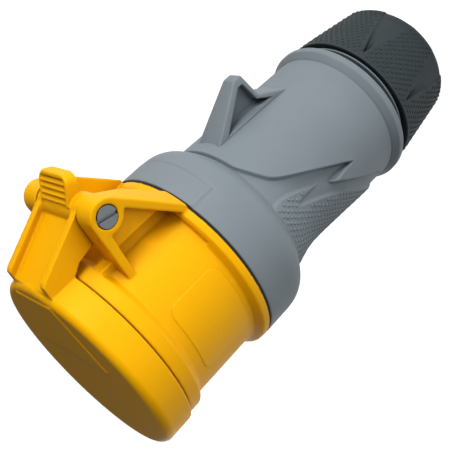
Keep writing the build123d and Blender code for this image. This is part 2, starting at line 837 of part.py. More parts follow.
# Rear housing. The grip sits on a waisted core; a smooth upper shell steps over it in a wave.
# Side-view points: reach towards the hinge, drop below the seam
wave_front_drop = 21.3
wave_front = (24.0, wave_front_drop)
wave_bend = (17.9, 24.7)
wave_knee = (14.9, 28.3)
wave_flank = (9.4, 39.0)
wave_tip = (1.5, 54.3)
wave_notch = (1.0, 44.2)
wave_trough = (-13.2, 65.8)
wave_heel = (-20.0, 74.3)
wave_exit_drop = 76.0
shell_rear_drop = 90.0
pad_front = (7.5, 18.5)
pad_corner = (9.5, 21.8)
pad_crest = (9.2, 26.1)
pad_flank = (7.6, 31.5)
pad_tip = (3.4, 40.0)
pad_notch = (3.4, 30.8)
pad_belly = (-6.0, 49.6)
pad_trough = (-17.8, 64.4)
pad_exit_drop = 72.0
pad_top_z = neck_z + pad_top_rise
shell_top_z = seam_z - wave_front_drop + root_overlap
grip_end_z = heel_z + heel_height + heel_bevel
housing_far = 2 * body_radius

with BuildPart() as grip_pad:
    with BuildSketch(Plane.XZ):
        with BuildLine():
            Line((0, pad_top_z), (waist_front_radius + pad_thickness, pad_top_z))
            Spline(
                (waist_front_radius + pad_thickness, pad_top_z),
                (waist_radius + pad_thickness, seam_z - waist_drop),
                (waist_rear_radius + pad_thickness, seam_z - waist_rear_drop),
                (barrel_rear_radius, grip_end_z),
            )
            Polyline(
                (barrel_rear_radius, grip_end_z),
                (0, grip_end_z),
                (0, pad_top_z),
            )
        make_face()
    revolve(axis=Axis.Z)
    with BuildSketch(Plane.YZ):
        with BuildLine():
            Polyline(
                below_seam(-housing_far, pad_front[1]),
                below_seam(*pad_front),
                below_seam(*pad_corner),
                below_seam(*pad_crest),
                below_seam(*pad_flank),
                below_seam(*pad_tip),
                below_seam(*pad_notch),
                below_seam(*pad_belly),
                below_seam(*pad_trough),
                below_seam(-housing_far, pad_exit_drop),
                close=True,
            )
        make_face()
    extrude(amount=housing_far, both=True, mode=Mode.INTERSECT)

with BuildPart() as upper_shell:
    with BuildSketch(Plane.XZ):
        with BuildLine():
            Polyline(
                (0, shell_top_z),
                (barrel_front_radius, shell_top_z),
                (barrel_rear_radius, grip_end_z),
                (0, grip_end_z),
                close=True,
            )
        make_face()
    revolve(axis=Axis.Z)
    with BuildSketch(Plane.YZ):
        with BuildLine():
            Line(below_seam(housing_far, wave_front_drop), below_seam(*wave_front))
            Spline(
                below_seam(*wave_front),
                below_seam(*wave_bend),
                below_seam(*wave_knee),
                below_seam(*wave_flank),
                tangents=((1, 0), (wave_flank[0] - wave_tip[0], wave_flank[1] - wave_tip[1])),
            )
            Polyline(
                below_seam(*wave_flank),
                below_seam(*wave_tip),
                below_seam(*wave_notch),
                below_seam(*wave_trough),
                below_seam(*wave_heel),
                below_seam(-housing_far, wave_exit_drop),
                below_seam(-housing_far, shell_rear_drop),
                below_seam(housing_far, shell_rear_drop),
                below_seam(housing_far, wave_front_drop),
            )
        make_face()
    extrude(amount=housing_far, both=True, mode=Mode.INTERSECT)

# Fin: a hollow-sided hook on the hinge side of the handle
fin_front_drop = 24.5
fin_root_reach = 22.0
fin_base_reach = 25.6
fin_top_reach = 38.5
fin_crest_drop = 42.6
fin_apex_drop = 45.9
fin_valley_reach = 30.1
fin_valley_drop = 47.8
fin_tip_reach = 25.4
fin_tip_drop = 58.0
fin_pocket_front = (26.8, 30.9)
fin_pocket_crest = (35.9, 42.8)
fin_pocket_apex = (35.9, 44.7)
fin_pocket_valley = (29.3, 46.4)
fin_pocket_rear = (26.8, 50.8)

with BuildPart() as fin:
    with BuildSketch(Plane.YZ):
        with BuildLine():
            Polyline(
                below_seam(fin_root_reach, fin_front_drop),
                below_seam(fin_base_reach, fin_front_drop),
                below_seam(fin_top_reach, fin_crest_drop),
                below_seam(fin_top_reach, fin_apex_drop),
                below_seam(fin_valley_reach, fin_valley_drop),
                below_seam(fin_tip_reach, fin_tip_drop),
                below_seam(fin_root_reach, fin_tip_drop),
                close=True,
            )
        make_face()
    extrude(amount=fin_base_half_width, both=True)
    with BuildSketch(Plane.XY.offset(seam_z - fin_tip_drop)):
        with BuildLine():
            Polyline(
                (-fin_base_half_width, -fin_root_reach),
                (-fin_base_half_width, -fin_base_reach),
                (-fin_top_half_width, -fin_top_reach),
                (fin_top_half_width, -fin_top_reach),
                (fin_base_half_width, -fin_base_reach),
                (fin_base_half_width, -fin_root_reach),
                close=True,
            )
        make_face()
    extrude(amount=fin_tip_drop - fin_front_drop, mode=Mode.INTERSECT)
    for side in (-1, 1):
        with BuildSketch(Plane.YZ.offset(side * fin_web_half_width)):
            with BuildLine():
                Polyline(
                    below_seam(*fin_pocket_front),
                    below_seam(*fin_pocket_crest),
                    below_seam(*fin_pocket_apex),
                    below_seam(*fin_pocket_valley),
                    below_seam(*fin_pocket_rear),
                    close=True,
                )
            make_face()
        extrude(amount=side * fin_base_half_width, mode=Mode.SUBTRACT)

# Ring panel: a thin raised field on the hinge side of the ring
ring_panel_half_width = 19.1
ring_panel_drop = 8.7

with BuildPart() as ring_panel:
    with BuildSketch(Plane.XY.offset(seam_z - ring_panel_drop)):
        Circle(body_radius + panel_thickness)
        Circle(body_radius - root_overlap, mode=Mode.SUBTRACT)
        with Locations((0, -body_radius)):
            Rectangle(2 * ring_panel_half_width, body_radius, mode=Mode.INTERSECT)
    extrude(amount=ring_panel_drop)

spigot_bore = spigot_radius + spigot_clearance
lug_groove_radius = spigot_radius + lug_reach + lug_clearance
chamber_floor_z = heel_z + chamber_floor_rise
seal_top_z = heel_z - throat_height

with BuildPart() as rear_housing:
    with BuildSketch(Plane.XZ):
        with BuildLine():
            Polyline(
                (0, seam_z),
                (body_radius, seam_z),
                (body_radius, shoulder_z),
            )
            ThreePointArc(
                (body_radius, shoulder_z),
                (body_radius - shoulder_bulge_inset, shoulder_z - shoulder_bulge_share * shoulder_height),
                (waist_front_radius + neck_outer_step, neck_z),
            )
            ThreePointArc(
                (waist_front_radius + neck_outer_step, neck_z),
                (waist_front_radius + neck_inner_step, neck_z - neck_bend_drop),
                (waist_front_radius, neck_z - neck_foot_drop),
            )
            Spline(
                (waist_front_radius, neck_z - neck_foot_drop),
                (waist_radius, seam_z - waist_drop),
                (waist_rear_radius, seam_z - waist_rear_drop),
                (barrel_rear_radius, grip_end_z),
            )
            Polyline(
                (barrel_rear_radius, grip_end_z),
                (heel_radius - heel_lip, heel_z + heel_height),
                (heel_radius, heel_z + heel_height - heel_round),
                (heel_radius, heel_z + heel_round),
                (heel_radius - heel_round, heel_z),
                (thread_radius - thread_depth, heel_z),
                (thread_radius - thread_depth, spigot_z),
                (0, spigot_z),
                (0, seam_z),
            )
        make_face()
    revolve(axis=Axis.Z)
    add(grip_pad.part)
    add(upper_shell.part)
    add(fin.part)
    add(ring_panel.part)
    with BuildSketch(Plane.XZ):
        with BuildLine():
            Polyline(
                (0, seam_z),
                (spigot_bore, seam_z),
                (spigot_bore, retainer_z),
                (shoulder_bore_radius, retainer_z),
                (shoulder_bore_radius, retainer_z - shoulder_bore_depth),
                (chamber_radius, seam_z - chamber_top_drop),
                (chamber_radius, chamber_floor_z),
                (throat_radius, heel_z),
                (throat_radius, seal_top_z),
                (gland_bore_radius, seal_top_z),
                (gland_bore_radius, spigot_z),
                (0, spigot_z),
                close=True,
            )
        make_face()
    revolve(axis=Axis.Z, mode=Mode.SUBTRACT)
    with BuildSketch(Plane.XY.offset(lug_z - lug_clearance)):
        Circle(lug_groove_radius)
    extrude(amount=lug_height + 2 * lug_clearance, mode=Mode.SUBTRACT)
    with BuildSketch(Plane.XY.offset(lug_z)):
        for quarter in range(lug_count):
            with BuildLine():
                turn = 360 / lug_count * (quarter + 0.5)
                left = turn - lug_angle / 2 - lug_slot_margin
                right = turn + lug_angle / 2 + lug_slot_margin
                Polyline(
                    (0, 0),
                    Vector(1, 0).rotate(Axis.Z, left) * lug_groove_radius,
                    Vector(1, 0).rotate(Axis.Z, turn) * lug_groove_radius,
                    Vector(1, 0).rotate(Axis.Z, right) * lug_groove_radius,
                    close=True,
                )
            make_face()
    extrude(amount=seam_z - lug_z, mode=Mode.SUBTRACT)

# Cable seal: a soft ring in the housing's bore
with BuildPart() as cable_seal:
    with BuildSketch(Plane.XZ):
        with BuildLine():
            Polyline(
                (seal_inner_radius, seal_top_z - seal_height),
                (seal_inner_radius, seal_top_z - seal_chamfer),
                (seal_inner_radius + seal_chamfer, seal_top_z),
                (gland_bore_radius - gland_fit, seal_top_z),
                (gland_bore_radius - gland_fit, seal_top_z - seal_height),
                close=True,
            )
        make_face()
    revolve(axis=Axis.Z)

# Clamp claws: a slotted collet that grips the cable when the nut is tightened
claw_top_z = seal_top_z - seal_height
thrust_ring_z = nut_end_wall + thrust_ring_lift
thrust_top_z = thrust_ring_z + thrust_ring_height
cone_slope = (thrust_cone_large_radius - thrust_cone_small_radius) / thrust_ring_height
claw_tip_radius = (
    thrust_cone_small_radius - claw_clearance + cone_slope * (claw_tip_rise - thrust_ring_z)
)

with BuildPart() as clamp_claws:
    with BuildSketch(Plane.XZ):
        with BuildLine():
            Polyline(
                (claw_tip_radius - claw_wall, claw_tip_rise),
                (claw_tip_radius, claw_tip_rise),
                (thrust_cone_large_radius - claw_clearance, thrust_top_z),
                (gland_bore_radius - gland_fit, spigot_z),
                (gland_bore_radius - gland_fit, claw_top_z),
                (gland_bore_radius - gland_fit - claw_wall, claw_top_z),
                (thrust_cone_large_radius - claw_clearance - claw_wall, thrust_top_z),
                close=True,
            )
        make_face()
    revolve(axis=Axis.Z)
    with BuildSketch(Plane.XY.offset(claw_tip_rise)):
        with PolarLocations(gland_bore_radius, claw_count):
            Rectangle(claw_slot_reach, claw_slot_width)
    extrude(amount=claw_top_z - claw_ring_height - claw_tip_rise, mode=Mode.SUBTRACT)

# Thrust ring: slides on the claws' cone inside the nut and does not turn with it
with BuildPart() as thrust_ring:
    with BuildSketch(Plane.XZ):
        with BuildLine():
            Polyline(
                (thrust_cone_small_radius, thrust_ring_z),
                (thrust_ring_radius, thrust_ring_z),
                (thrust_ring_radius, thrust_top_z),
                (thrust_cone_large_radius, thrust_top_z),
                close=True,
            )
        make_face()
    revolve(axis=Axis.Z)

# Gland nut: a tapered cap with six slanted grip facets in three mirrored pairs
facet_centres = (0, 120, 240)
facet_apex_angle = 35.0
facet_short_angle = 45.0
facet_long_angle = 16.0
facet_pair_angle = 60.0
facet_apex_drop = 1.8
facet_cut_depth = 4.0
facet_depth = 1.1
nut_taper = (nut_front_radius - nut_rear_radius) / (nut_height - nut_rear_round)


def on_nut(turn, drop, depth):
    """A point on the nut's cone: turned from the hinge side, dropped from its front, sunk in."""
    radius = nut_front_radius - nut_taper * drop - depth
    angle = math.radians(turn)
    return Vector(-radius * math.sin(angle), -radius * math.cos(angle), nut_height - drop)


with BuildPart() as gland_nut:
    with BuildSketch(Plane.XZ):
        with BuildLine():
            Polyline(
                (cable_entry_radius, 0),
                (nut_rear_radius - nut_rear_round, 0),
            )
            RadiusArc(
                (nut_rear_radius - nut_rear_round, 0),
                (nut_rear_radius, nut_rear_round),
                -nut_rear_round,
            )
            Polyline(
                (nut_rear_radius, nut_rear_round),
                (nut_front_radius, nut_height),
                (thread_radius + thread_clearance, nut_height),
                (thread_radius + thread_clearance, nut_step_z),
                (thrust_ring_radius + gland_fit, nut_step_z),
                (thrust_ring_radius + gland_fit, nut_end_wall),
                (cable_entry_radius, nut_end_wall),
                (cable_entry_radius, 0),
            )
        make_face()
    revolve(axis=Axis.Z)
    for centre in facet_centres:
        for hand in (-1, 1):
            middle = centre + facet_pair_angle
            apex = on_nut(middle + hand * (facet_pair_angle - facet_apex_angle), facet_apex_drop, 0)
            short = on_nut(middle + hand * (facet_pair_angle - facet_short_angle), nut_height, 0)
            long = on_nut(
                middle + hand * (facet_pair_angle - facet_long_angle), nut_height, facet_depth
            )
            facet_plane = Plane(apex, x_dir=short - apex, z_dir=(short - apex).cross(long - apex))
            flip = 1 if facet_plane.z_dir.dot(Vector(apex.X, apex.Y, 0)) > 0 else -1
            with BuildSketch(facet_plane):
                with BuildLine():
                    Polyline(
                        facet_plane.to_local_coords(apex),
                        facet_plane.to_local_coords(short),
                        facet_plane.to_local_coords(long),
                        close=True,
                    )
                make_face()
            extrude(amount=flip * facet_cut_depth, mode=Mode.SUBTRACT)

pieces = {
    "front_collar": front_collar.part,
    "hinged_lid": hinged_lid.part,
    "lid_gasket": lid_gasket.part,
    "hinge_pin": hinge_pin.part,
    "lid_spring": lid_spring.part,
    "contact_carrier": contact_carrier.part,
    "line_spring_rings": line_spring_rings.part,
    "earth_spring_ring": earth_spring_ring.part,
    "terminal_screws": terminal_screws.part,
    "contact_retainer": contact_retainer.part,
    "retainer_screws": retainer_screws.part,
    "body_gasket": body_gasket.part,
    "rear_housing": rear_housing.part,
    "cable_seal": cable_seal.part,
    "clamp_claws": clamp_claws.part,
    "thrust_ring": thrust_ring.part,
    "gland_nut": gland_nut.part,
    **contact_parts,
}
os.makedirs("parts", exist_ok=True)
for name, piece in pieces.items():
    piece.label = name
    export_step(piece, f"parts/{name}.step")
    print(name, "solids", len(piece.solids()), "volume", round(piece.volume, 1))
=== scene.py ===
# %% [markdown]
# A two-pole and earth cable coupler of the pin-and-sleeve kind, as an electrician carries it: a
# yellow socket with a sprung lid in front, a grey hand grip behind it, and a dark gland nut that
# clamps the cable. The engineering model already exists, so this lesson only dresses it. It
# starts by loading that model as a fixed frame, because every piece made here has to sit on it.

import json
import math

import bmesh
import bpy
import numpy as np
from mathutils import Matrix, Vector


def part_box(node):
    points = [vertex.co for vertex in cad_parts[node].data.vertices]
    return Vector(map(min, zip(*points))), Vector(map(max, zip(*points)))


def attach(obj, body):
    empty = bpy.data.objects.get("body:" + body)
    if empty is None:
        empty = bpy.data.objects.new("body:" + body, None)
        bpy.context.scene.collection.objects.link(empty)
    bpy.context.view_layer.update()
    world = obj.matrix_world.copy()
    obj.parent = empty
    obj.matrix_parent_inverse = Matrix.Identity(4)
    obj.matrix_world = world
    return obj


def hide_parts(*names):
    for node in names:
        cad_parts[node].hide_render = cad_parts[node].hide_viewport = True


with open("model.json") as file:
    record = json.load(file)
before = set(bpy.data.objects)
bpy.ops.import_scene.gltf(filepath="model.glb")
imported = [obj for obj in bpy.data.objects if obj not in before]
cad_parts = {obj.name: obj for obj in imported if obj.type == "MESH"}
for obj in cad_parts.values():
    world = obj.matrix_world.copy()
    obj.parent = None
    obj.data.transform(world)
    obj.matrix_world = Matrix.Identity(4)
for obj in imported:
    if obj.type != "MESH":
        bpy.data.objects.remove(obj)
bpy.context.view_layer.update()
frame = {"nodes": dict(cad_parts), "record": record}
nodes = frame["nodes"]
MM = 0.001

# %% [markdown]
# A product picture is planned from its camera. This one lies close to the coupler, on the hinge
# side and a little above it, and is rolled so far that the upright coupler runs from the lower
# left to the upper right, with its nut on top. The camera is placed by its three axes, which is
# easier to read than three angles, and its lens is a long one, so the round parts keep their
# shape. The plain view transform is used, because a filmic one would wash the yellow out.

# %% Camera
camera_place = Vector((-0.19201, -0.13850, 0.19963))
camera_right = Vector((-0.64521, 0.40754, -0.64623))
camera_up = Vector((0.18026, -0.74077, -0.64713))
camera_back = camera_right.cross(camera_up)

camera_data = bpy.data.cameras.new("studio_camera")
camera_data.lens = 64
camera_data.sensor_width = 36
camera_data.clip_start = 0.01
camera = bpy.data.objects.new("studio_camera", camera_data)
bpy.context.scene.collection.objects.link(camera)
for row in range(3):
    for column, axis in enumerate((camera_right, camera_up, camera_back)):
        camera.matrix_world[row][column] = axis[row]
    camera.matrix_world[row][3] = camera_place[row]
bpy.context.scene.camera = camera
bpy.context.scene.view_settings.view_transform = "Standard"
coupler_middle = Vector((0, 0, 0.08))
print("camera", round((camera_place - coupler_middle).length, 3), "m from the coupler")

# %% [markdown]
# The studio is a pale table that runs out past the picture, and three soft lamps. The main lamp
# hangs on the hinge side, so the side of the coupler is bright and the flat lid stays in its
# own shade, which tells the eye that the lid turns away. A wide lamp behind the camera opens
# the shadows, and a weak one on the far side draws the edge of the grip. Table and air look
# white to the camera but give little light, or they would fill every shadow.

# %% Table and lamps


def add_lamp(name, direction, distance, size, watts):
    """A square soft lamp that looks at the middle of the coupler."""
    data = bpy.data.lights.new(name, "AREA")
    data.shape = "SQUARE"
    data.size = size
    data.energy = watts
    lamp = bpy.data.objects.new(name, data)
    bpy.context.scene.collection.objects.link(lamp)
    toward = Vector(direction).normalized()
    lamp.location = coupler_middle + toward * distance
    lamp.rotation_euler = toward.to_track_quat("Z", "Y").to_euler()


table_mesh = bpy.data.meshes.new("table_top")
edge = 4.0
table_mesh.from_pydata(
    [(-edge, -edge, 0), (edge, -edge, 0), (edge, edge, 0), (-edge, edge, 0)], [], [(0, 1, 2, 3)]
)
table_top = bpy.data.objects.new("table_top", table_mesh)
bpy.context.scene.collection.objects.link(table_top)
table_paint = bpy.data.materials.new("pale_table")
table_paint.use_nodes = True
table_shader = table_paint.node_tree.nodes["Principled BSDF"]
table_shader.inputs["Base Color"].default_value = (0.9, 0.9, 0.9, 1)
table_shader.inputs["Roughness"].default_value = 0.9
table_shader.inputs["Emission Color"].default_value = (1, 1, 1, 1)


def brighter_when_seen(tree, strength, given, seen):
    """A glow that gives one strength as light and shows another one as background."""
    path = tree.nodes.new("ShaderNodeLightPath")
    glow = tree.nodes.new("ShaderNodeMapRange")
    glow.inputs["To Min"].default_value = given
    glow.inputs["To Max"].default_value = seen
    tree.links.new(path.outputs["Is Camera Ray"], glow.inputs["Value"])
    tree.links.new(glow.outputs["Result"], strength)


brighter_when_seen(table_paint.node_tree, table_shader.inputs["Emission Strength"], 0.4, 0.95)
table_mesh.materials.append(table_paint)

add_lamp("main_lamp", (-0.24, -1.0, 0.10), 0.75, 0.4, 4.6)
add_lamp("fill_lamp", (-0.85, -0.45, 0.15), 0.9, 0.5, 1.5)
add_lamp("rim_lamp", (0.5, 0.9, 0.05), 0.8, 0.4, 0.8)
world = bpy.data.worlds.new("studio_air")
bpy.context.scene.world = world
world.use_nodes = True
air = world.node_tree.nodes["Background"]
air.inputs["Color"].default_value = (0.93, 0.96, 1, 1)
brighter_when_seen(world.node_tree, air.inputs["Strength"], 0.11, 1.0)

# %% [markdown]
# Moulded nylon is never one flat colour. The mould is spark-eroded, so the skin has a grain as
# fine as skin pores, the gloss changes slowly over a hand's breadth, and every corner has a
# small radius that catches a line of light. One recipe makes all the plastics here: a slow
# colour drift, a roughness that wanders, two sizes of grain as bump, and a rounding of the
# shading at sharp corners, which stands in for the radius that the mould leaves there. Inner
# corners, narrow gaps and pockets get painted shade, a darker and more saturated colour, because
# light that is caught between two coloured walls comes back darker and more saturated than a
# fast render shows it. The small helpers of the recipe come first.

# %% Helpers for the recipes
MIX_SHARE, MIX_A, MIX_B, MIX_COLOUR = 0, 6, 7, 2


def add_node(tree, kind, place, **values):
    """A shader node with its inputs set by name."""
    node = tree.nodes.new(kind)
    node.location = place
    for name, value in values.items():
        node.inputs[name].default_value = value
    return node


def drift(tree, coordinates, scale, low, high, place):
    """A slow noise mapped to a range, for a value that wanders over the surface."""
    noise = add_node(tree, "ShaderNodeTexNoise", place, Scale=scale, Detail=3.0, Roughness=0.55)
    tree.links.new(coordinates, noise.inputs["Vector"])
    span = add_node(tree, "ShaderNodeMapRange", (place[0] + 200, place[1]))
    span.inputs["From Min"].default_value = 0.3
    span.inputs["From Max"].default_value = 0.7
    span.inputs["To Min"].default_value = low
    span.inputs["To Max"].default_value = high
    tree.links.new(noise.outputs["Fac"], span.inputs["Value"])
    return span.outputs["Result"]


def crevice_shade_share(tree, distance, low, high, floor, place):
    """How much plain colour stays under the painted shade: 1 in the open, the floor value deep in a corner,
    a gap or a pocket.
    """
    shade = add_node(tree, "ShaderNodeAmbientOcclusion", place, Distance=distance)
    shade.samples = 6
    span = add_node(tree, "ShaderNodeMapRange", (place[0] + 200, place[1]))
    span.inputs["From Min"].default_value = low
    span.inputs["From Max"].default_value = high
    span.inputs["To Min"].default_value = floor
    tree.links.new(shade.outputs["AO"], span.inputs["Value"])
    return span.outputs["Result"]


print("helpers ready:", [helper.__name__ for helper in (add_node, drift, crevice_shade_share)])

# %% [markdown]
# The recipe itself has three strands. The first mixes two tones of the plastic and then paints
# shade into the crevices, the second lets the gloss wander, and the third stacks the soft
# corners, the slow waves and the fine pores into one shading normal.

# %% Recipe for moulded plastic


def moulded_plastic(
    name, colour, deep_colour, crevice_shade_colour, roughness, grain, specular_tint=(1, 1, 1), open_from=0.8
):
    """Nylon from a spark-eroded mould: colour drift, painted shade in crevices, wandering gloss, grain and
    soft corners.
    """
    material = bpy.data.materials.new(name)
    material.use_nodes = True
    tree = material.node_tree
    shader = tree.nodes["Principled BSDF"]
    where = add_node(tree, "ShaderNodeTexCoord", (-1500, 0)).outputs["Object"]
    tint = add_node(tree, "ShaderNodeMix", (-400, 300))
    tint.data_type = "RGBA"
    tint.inputs[MIX_A].default_value = (*deep_colour, 1)
    tint.inputs[MIX_B].default_value = (*colour, 1)
    tree.links.new(drift(tree, where, 38, 0.0, 1.0, (-900, 300)), tint.inputs[MIX_SHARE])
    # Painted shade: a narrow and a wide occlusion share darken the colour towards the crevice colour in
    # gaps, inner corners and pockets.
    both = add_node(tree, "ShaderNodeMath", (-400, 600))
    both.operation = "MULTIPLY"
    tree.links.new(crevice_shade_share(tree, 1.5 * MM, 0.15, open_from, 0.1, (-900, 600)), both.inputs[0])
    tree.links.new(crevice_shade_share(tree, 9 * MM, 0.25, 0.85, 0.3, (-900, 800)), both.inputs[1])
    painted_shade_mix = add_node(tree, "ShaderNodeMix", (-200, 400))
    painted_shade_mix.data_type = "RGBA"
    painted_shade_mix.inputs[MIX_A].default_value = (*crevice_shade_colour, 1)
    tree.links.new(both.outputs[0], painted_shade_mix.inputs[MIX_SHARE])
    tree.links.new(tint.outputs[MIX_COLOUR], painted_shade_mix.inputs[MIX_B])
    tree.links.new(painted_shade_mix.outputs[MIX_COLOUR], shader.inputs["Base Color"])
    gloss = drift(tree, where, 90, roughness - 0.05, roughness + 0.06, (-900, 0))
    tree.links.new(gloss, shader.inputs["Roughness"])
    shader.inputs["Specular IOR Level"].default_value = 0.28
    shader.inputs["Specular Tint"].default_value = (*specular_tint, 1)
    soft = add_node(tree, "ShaderNodeBevel", (-900, -600), Radius=0.35 * MM)
    soft.samples = 6
    waves = add_node(tree, "ShaderNodeTexNoise", (-900, -300), Scale=420.0, Detail=2.0)
    pores = add_node(tree, "ShaderNodeTexNoise", (-900, -450), Scale=3600.0, Detail=2.0)
    for texture in (waves, pores):
        tree.links.new(where, texture.inputs["Vector"])
    slow_bump = add_node(tree, "ShaderNodeBump", (-500, -400), Strength=0.35, Distance=0.03 * MM)
    fine_bump = add_node(tree, "ShaderNodeBump", (-250, -400), Strength=grain, Distance=0.05 * MM)
    tree.links.new(waves.outputs["Fac"], slow_bump.inputs["Height"])
    tree.links.new(soft.outputs["Normal"], slow_bump.inputs["Normal"])
    tree.links.new(pores.outputs["Fac"], fine_bump.inputs["Height"])
    tree.links.new(slow_bump.outputs["Normal"], fine_bump.inputs["Normal"])
    tree.links.new(fine_bump.outputs["Normal"], shader.inputs["Normal"])
    return material


print("recipe ready:", moulded_plastic.__name__)

# %% [markdown]
# Six plastics come out of that recipe. The yellow is a signal colour, and its gloss is tinted
# warm, so that a lamp's reflection doesn't bleach it. The label fields are the same nylon from
# a polished part of the mould. The nut's dark nylon is grained more strongly, for the fingers.

# %% The plastics
# The third colour given to each plastic is the painted shade that fills its crevices.
warm = (1.0, 0.8, 0.25)
amber_shade = (0.16, 0.035, 0.0)
yellow_nylon = moulded_plastic("yellow_nylon", (1.0, 0.475, 0.0), (0.97, 0.45, 0.0), amber_shade, 0.46, 0.3, warm)
label_nylon = moulded_plastic("label_nylon", (1.0, 0.475, 0.0), (0.98, 0.46, 0.0), amber_shade, 0.3, 0.1, warm)
grey_nylon = moulded_plastic(
    "grey_nylon", (0.212, 0.249, 0.273), (0.196, 0.231, 0.254), (0.03, 0.038, 0.043), 0.45, 0.3
)
# The dark nylon's painted shade starts at slighter occlusion, so it also spreads between the nut's nubs.
dark_nylon = moulded_plastic(
    "dark_nylon", (0.032, 0.045, 0.049), (0.028, 0.040, 0.044), (0.001, 0.002, 0.002), 0.52, 0.4,
    open_from=0.97,
)
pale_acetal = moulded_plastic(
    "pale_acetal", (0.45, 0.47, 0.48), (0.42, 0.44, 0.45), (0.12, 0.12, 0.12), 0.45, 0.3
)
carrier_plastic = moulded_plastic(
    "carrier_plastic", (0.16, 0.18, 0.19), (0.14, 0.16, 0.17), (0.02, 0.022, 0.024), 0.55, 0.5
)
plastics = (yellow_nylon, label_nylon, grey_nylon, dark_nylon, pale_acetal, carrier_plastic)
print("plastics", [plastic.name for plastic in plastics])

# %% [markdown]
# The few metal pieces are small: a zinc-plated pin and screws, brass contacts, drawn spring
# wire. Metal shows the tool that made it, so its recipe stretches a noise along one direction
# to get turning or drawing marks. Rubber is the opposite, dark, dull and a little dusty.

# %% Recipes for metal and rubber


def worked_metal(name, colour, roughness, stretch):
    """Metal with fine marks of the tool, long in one direction."""
    material = bpy.data.materials.new(name)
    material.use_nodes = True
    tree = material.node_tree
    shader = tree.nodes["Principled BSDF"]
    shader.inputs["Metallic"].default_value = 1.0
    where = add_node(tree, "ShaderNodeTexCoord", (-1500, 0)).outputs["Object"]
    squeeze = add_node(tree, "ShaderNodeMapping", (-1250, 0))
    squeeze.inputs["Scale"].default_value = stretch
    tree.links.new(where, squeeze.inputs["Vector"])
    along = squeeze.outputs["Vector"]
    tint = add_node(tree, "ShaderNodeMix", (-400, 300))
    tint.data_type = "RGBA"
    tint.inputs[MIX_A].default_value = (*(0.8 * part for part in colour), 1)
    tint.inputs[MIX_B].default_value = (*colour, 1)
    tree.links.new(drift(tree, along, 300, 0.0, 1.0, (-900, 300)), tint.inputs[MIX_SHARE])
    tree.links.new(tint.outputs[MIX_COLOUR], shader.inputs["Base Color"])
    dulled = drift(tree, along, 900, roughness - 0.08, roughness + 0.1, (-900, 0))
    tree.links.new(dulled, shader.inputs["Roughness"])
    marks = add_node(tree, "ShaderNodeTexNoise", (-900, -300), Scale=2600.0, Detail=3.0)
    tree.links.new(along, marks.inputs["Vector"])
    soft = add_node(tree, "ShaderNodeBevel", (-900, -600), Radius=0.15 * MM)
    bump = add_node(tree, "ShaderNodeBump", (-400, -400), Strength=0.25, Distance=0.02 * MM)
    tree.links.new(soft.outputs["Normal"], bump.inputs["Normal"])
    tree.links.new(marks.outputs["Fac"], bump.inputs["Height"])
    tree.links.new(bump.outputs["Normal"], shader.inputs["Normal"])
    return material


def moulded_rubber(name, colour):
    """Dark elastomer with a dusty, uneven dullness."""
    dusty = tuple(0.7 * part for part in colour)
    material = moulded_plastic(name, colour, dusty, (0.002, 0.002, 0.002), 0.72, 0.6)
    shader = material.node_tree.nodes["Principled BSDF"]
    shader.inputs["Sheen Weight"].default_value = 0.15
    return material


zinc_plate = worked_metal("zinc_plate", (0.32, 0.35, 0.37), 0.36, (1, 0.2, 1))
turned_brass = worked_metal("turned_brass", (0.78, 0.58, 0.27), 0.3, (1, 1, 0.15))
spring_wire = worked_metal("spring_wire", (0.55, 0.56, 0.57), 0.32, (0.3, 1, 1))
black_rubber = moulded_rubber("black_rubber", (0.018, 0.018, 0.02))
print("metals and rubber", [made.name for made in (zinc_plate, turned_brass, spring_wire, black_rubber)])

# %% [markdown]
# Each piece of the engineering model now gets its finish. The pieces that are made anew further
# on are in the list as well, so that nothing bare shows while the lesson is only half done.

# %% Finishes on the pieces
finishes = {
    yellow_nylon: ("front_collar", "hinged_lid"),
    grey_nylon: ("rear_housing",),
    carrier_plastic: ("contact_carrier", "contact_retainer"),
    dark_nylon: ("gland_nut",),
    pale_acetal: ("clamp_claws", "thrust_ring"),
    black_rubber: ("lid_gasket", "body_gasket", "cable_seal"),
    turned_brass: ("contact_earth", "contact_line_1", "contact_line_2"),
    zinc_plate: ("hinge_pin", "terminal_screws", "retainer_screws"),
    spring_wire: ("lid_spring", "line_spring_rings", "earth_spring_ring"),
}
for finish, names in finishes.items():
    for name in names:
        nodes[name].data.materials.clear()
        nodes[name].data.materials.append(finish)
print("finishes on", sum(len(names) for names in finishes.values()), "pieces")

# %% [markdown]
# The grip is the piece that the hand and the eye meet first: a waisted barrel with a smooth
# shell that laps over it in a wave, a raised pad for the palm, a smooth shoulder and a ring. It
# could be cut together from solids, but the steps would stay as sharp as a knife. Here it is
# thrown like a pot instead: one outline is turned round the axis into a fine net of points,
# and each point is pushed out by how deep it lies inside the wave and the pad. A push that
# swells softly over half a millimetre gives the same rounded steps as the mould does.

# %% Outlines with rounded corners


def rounded_outline(corners, steps=4):
    """A list of (radius, height) points whose corners (radius, height, round) are rounded off."""
    outline = []
    for index, (x, y, cut) in enumerate(corners):
        here = np.array((x, y))
        if cut == 0 or index in (0, len(corners) - 1):
            outline.append(here)
            continue
        before = np.array(corners[index - 1][:2]) - here
        after = np.array(corners[index + 1][:2]) - here
        start = here + before / np.linalg.norm(before) * cut
        end = here + after / np.linalg.norm(after) * cut
        for share in np.linspace(0, 1, steps):
            outline.append((1 - share) ** 2 * start + 2 * share * (1 - share) * here + share**2 * end)
    return np.array(outline)


def resampled(outline, spacing):
    """The same outline with no two points further apart than the spacing."""
    dense = [outline[0]]
    for before, after in zip(outline[:-1], outline[1:]):
        pieces = max(1, math.ceil(np.linalg.norm(after - before) / spacing))
        for step in range(1, pieces + 1):
            dense.append(before + (after - before) * step / pieces)
    return np.array(dense)


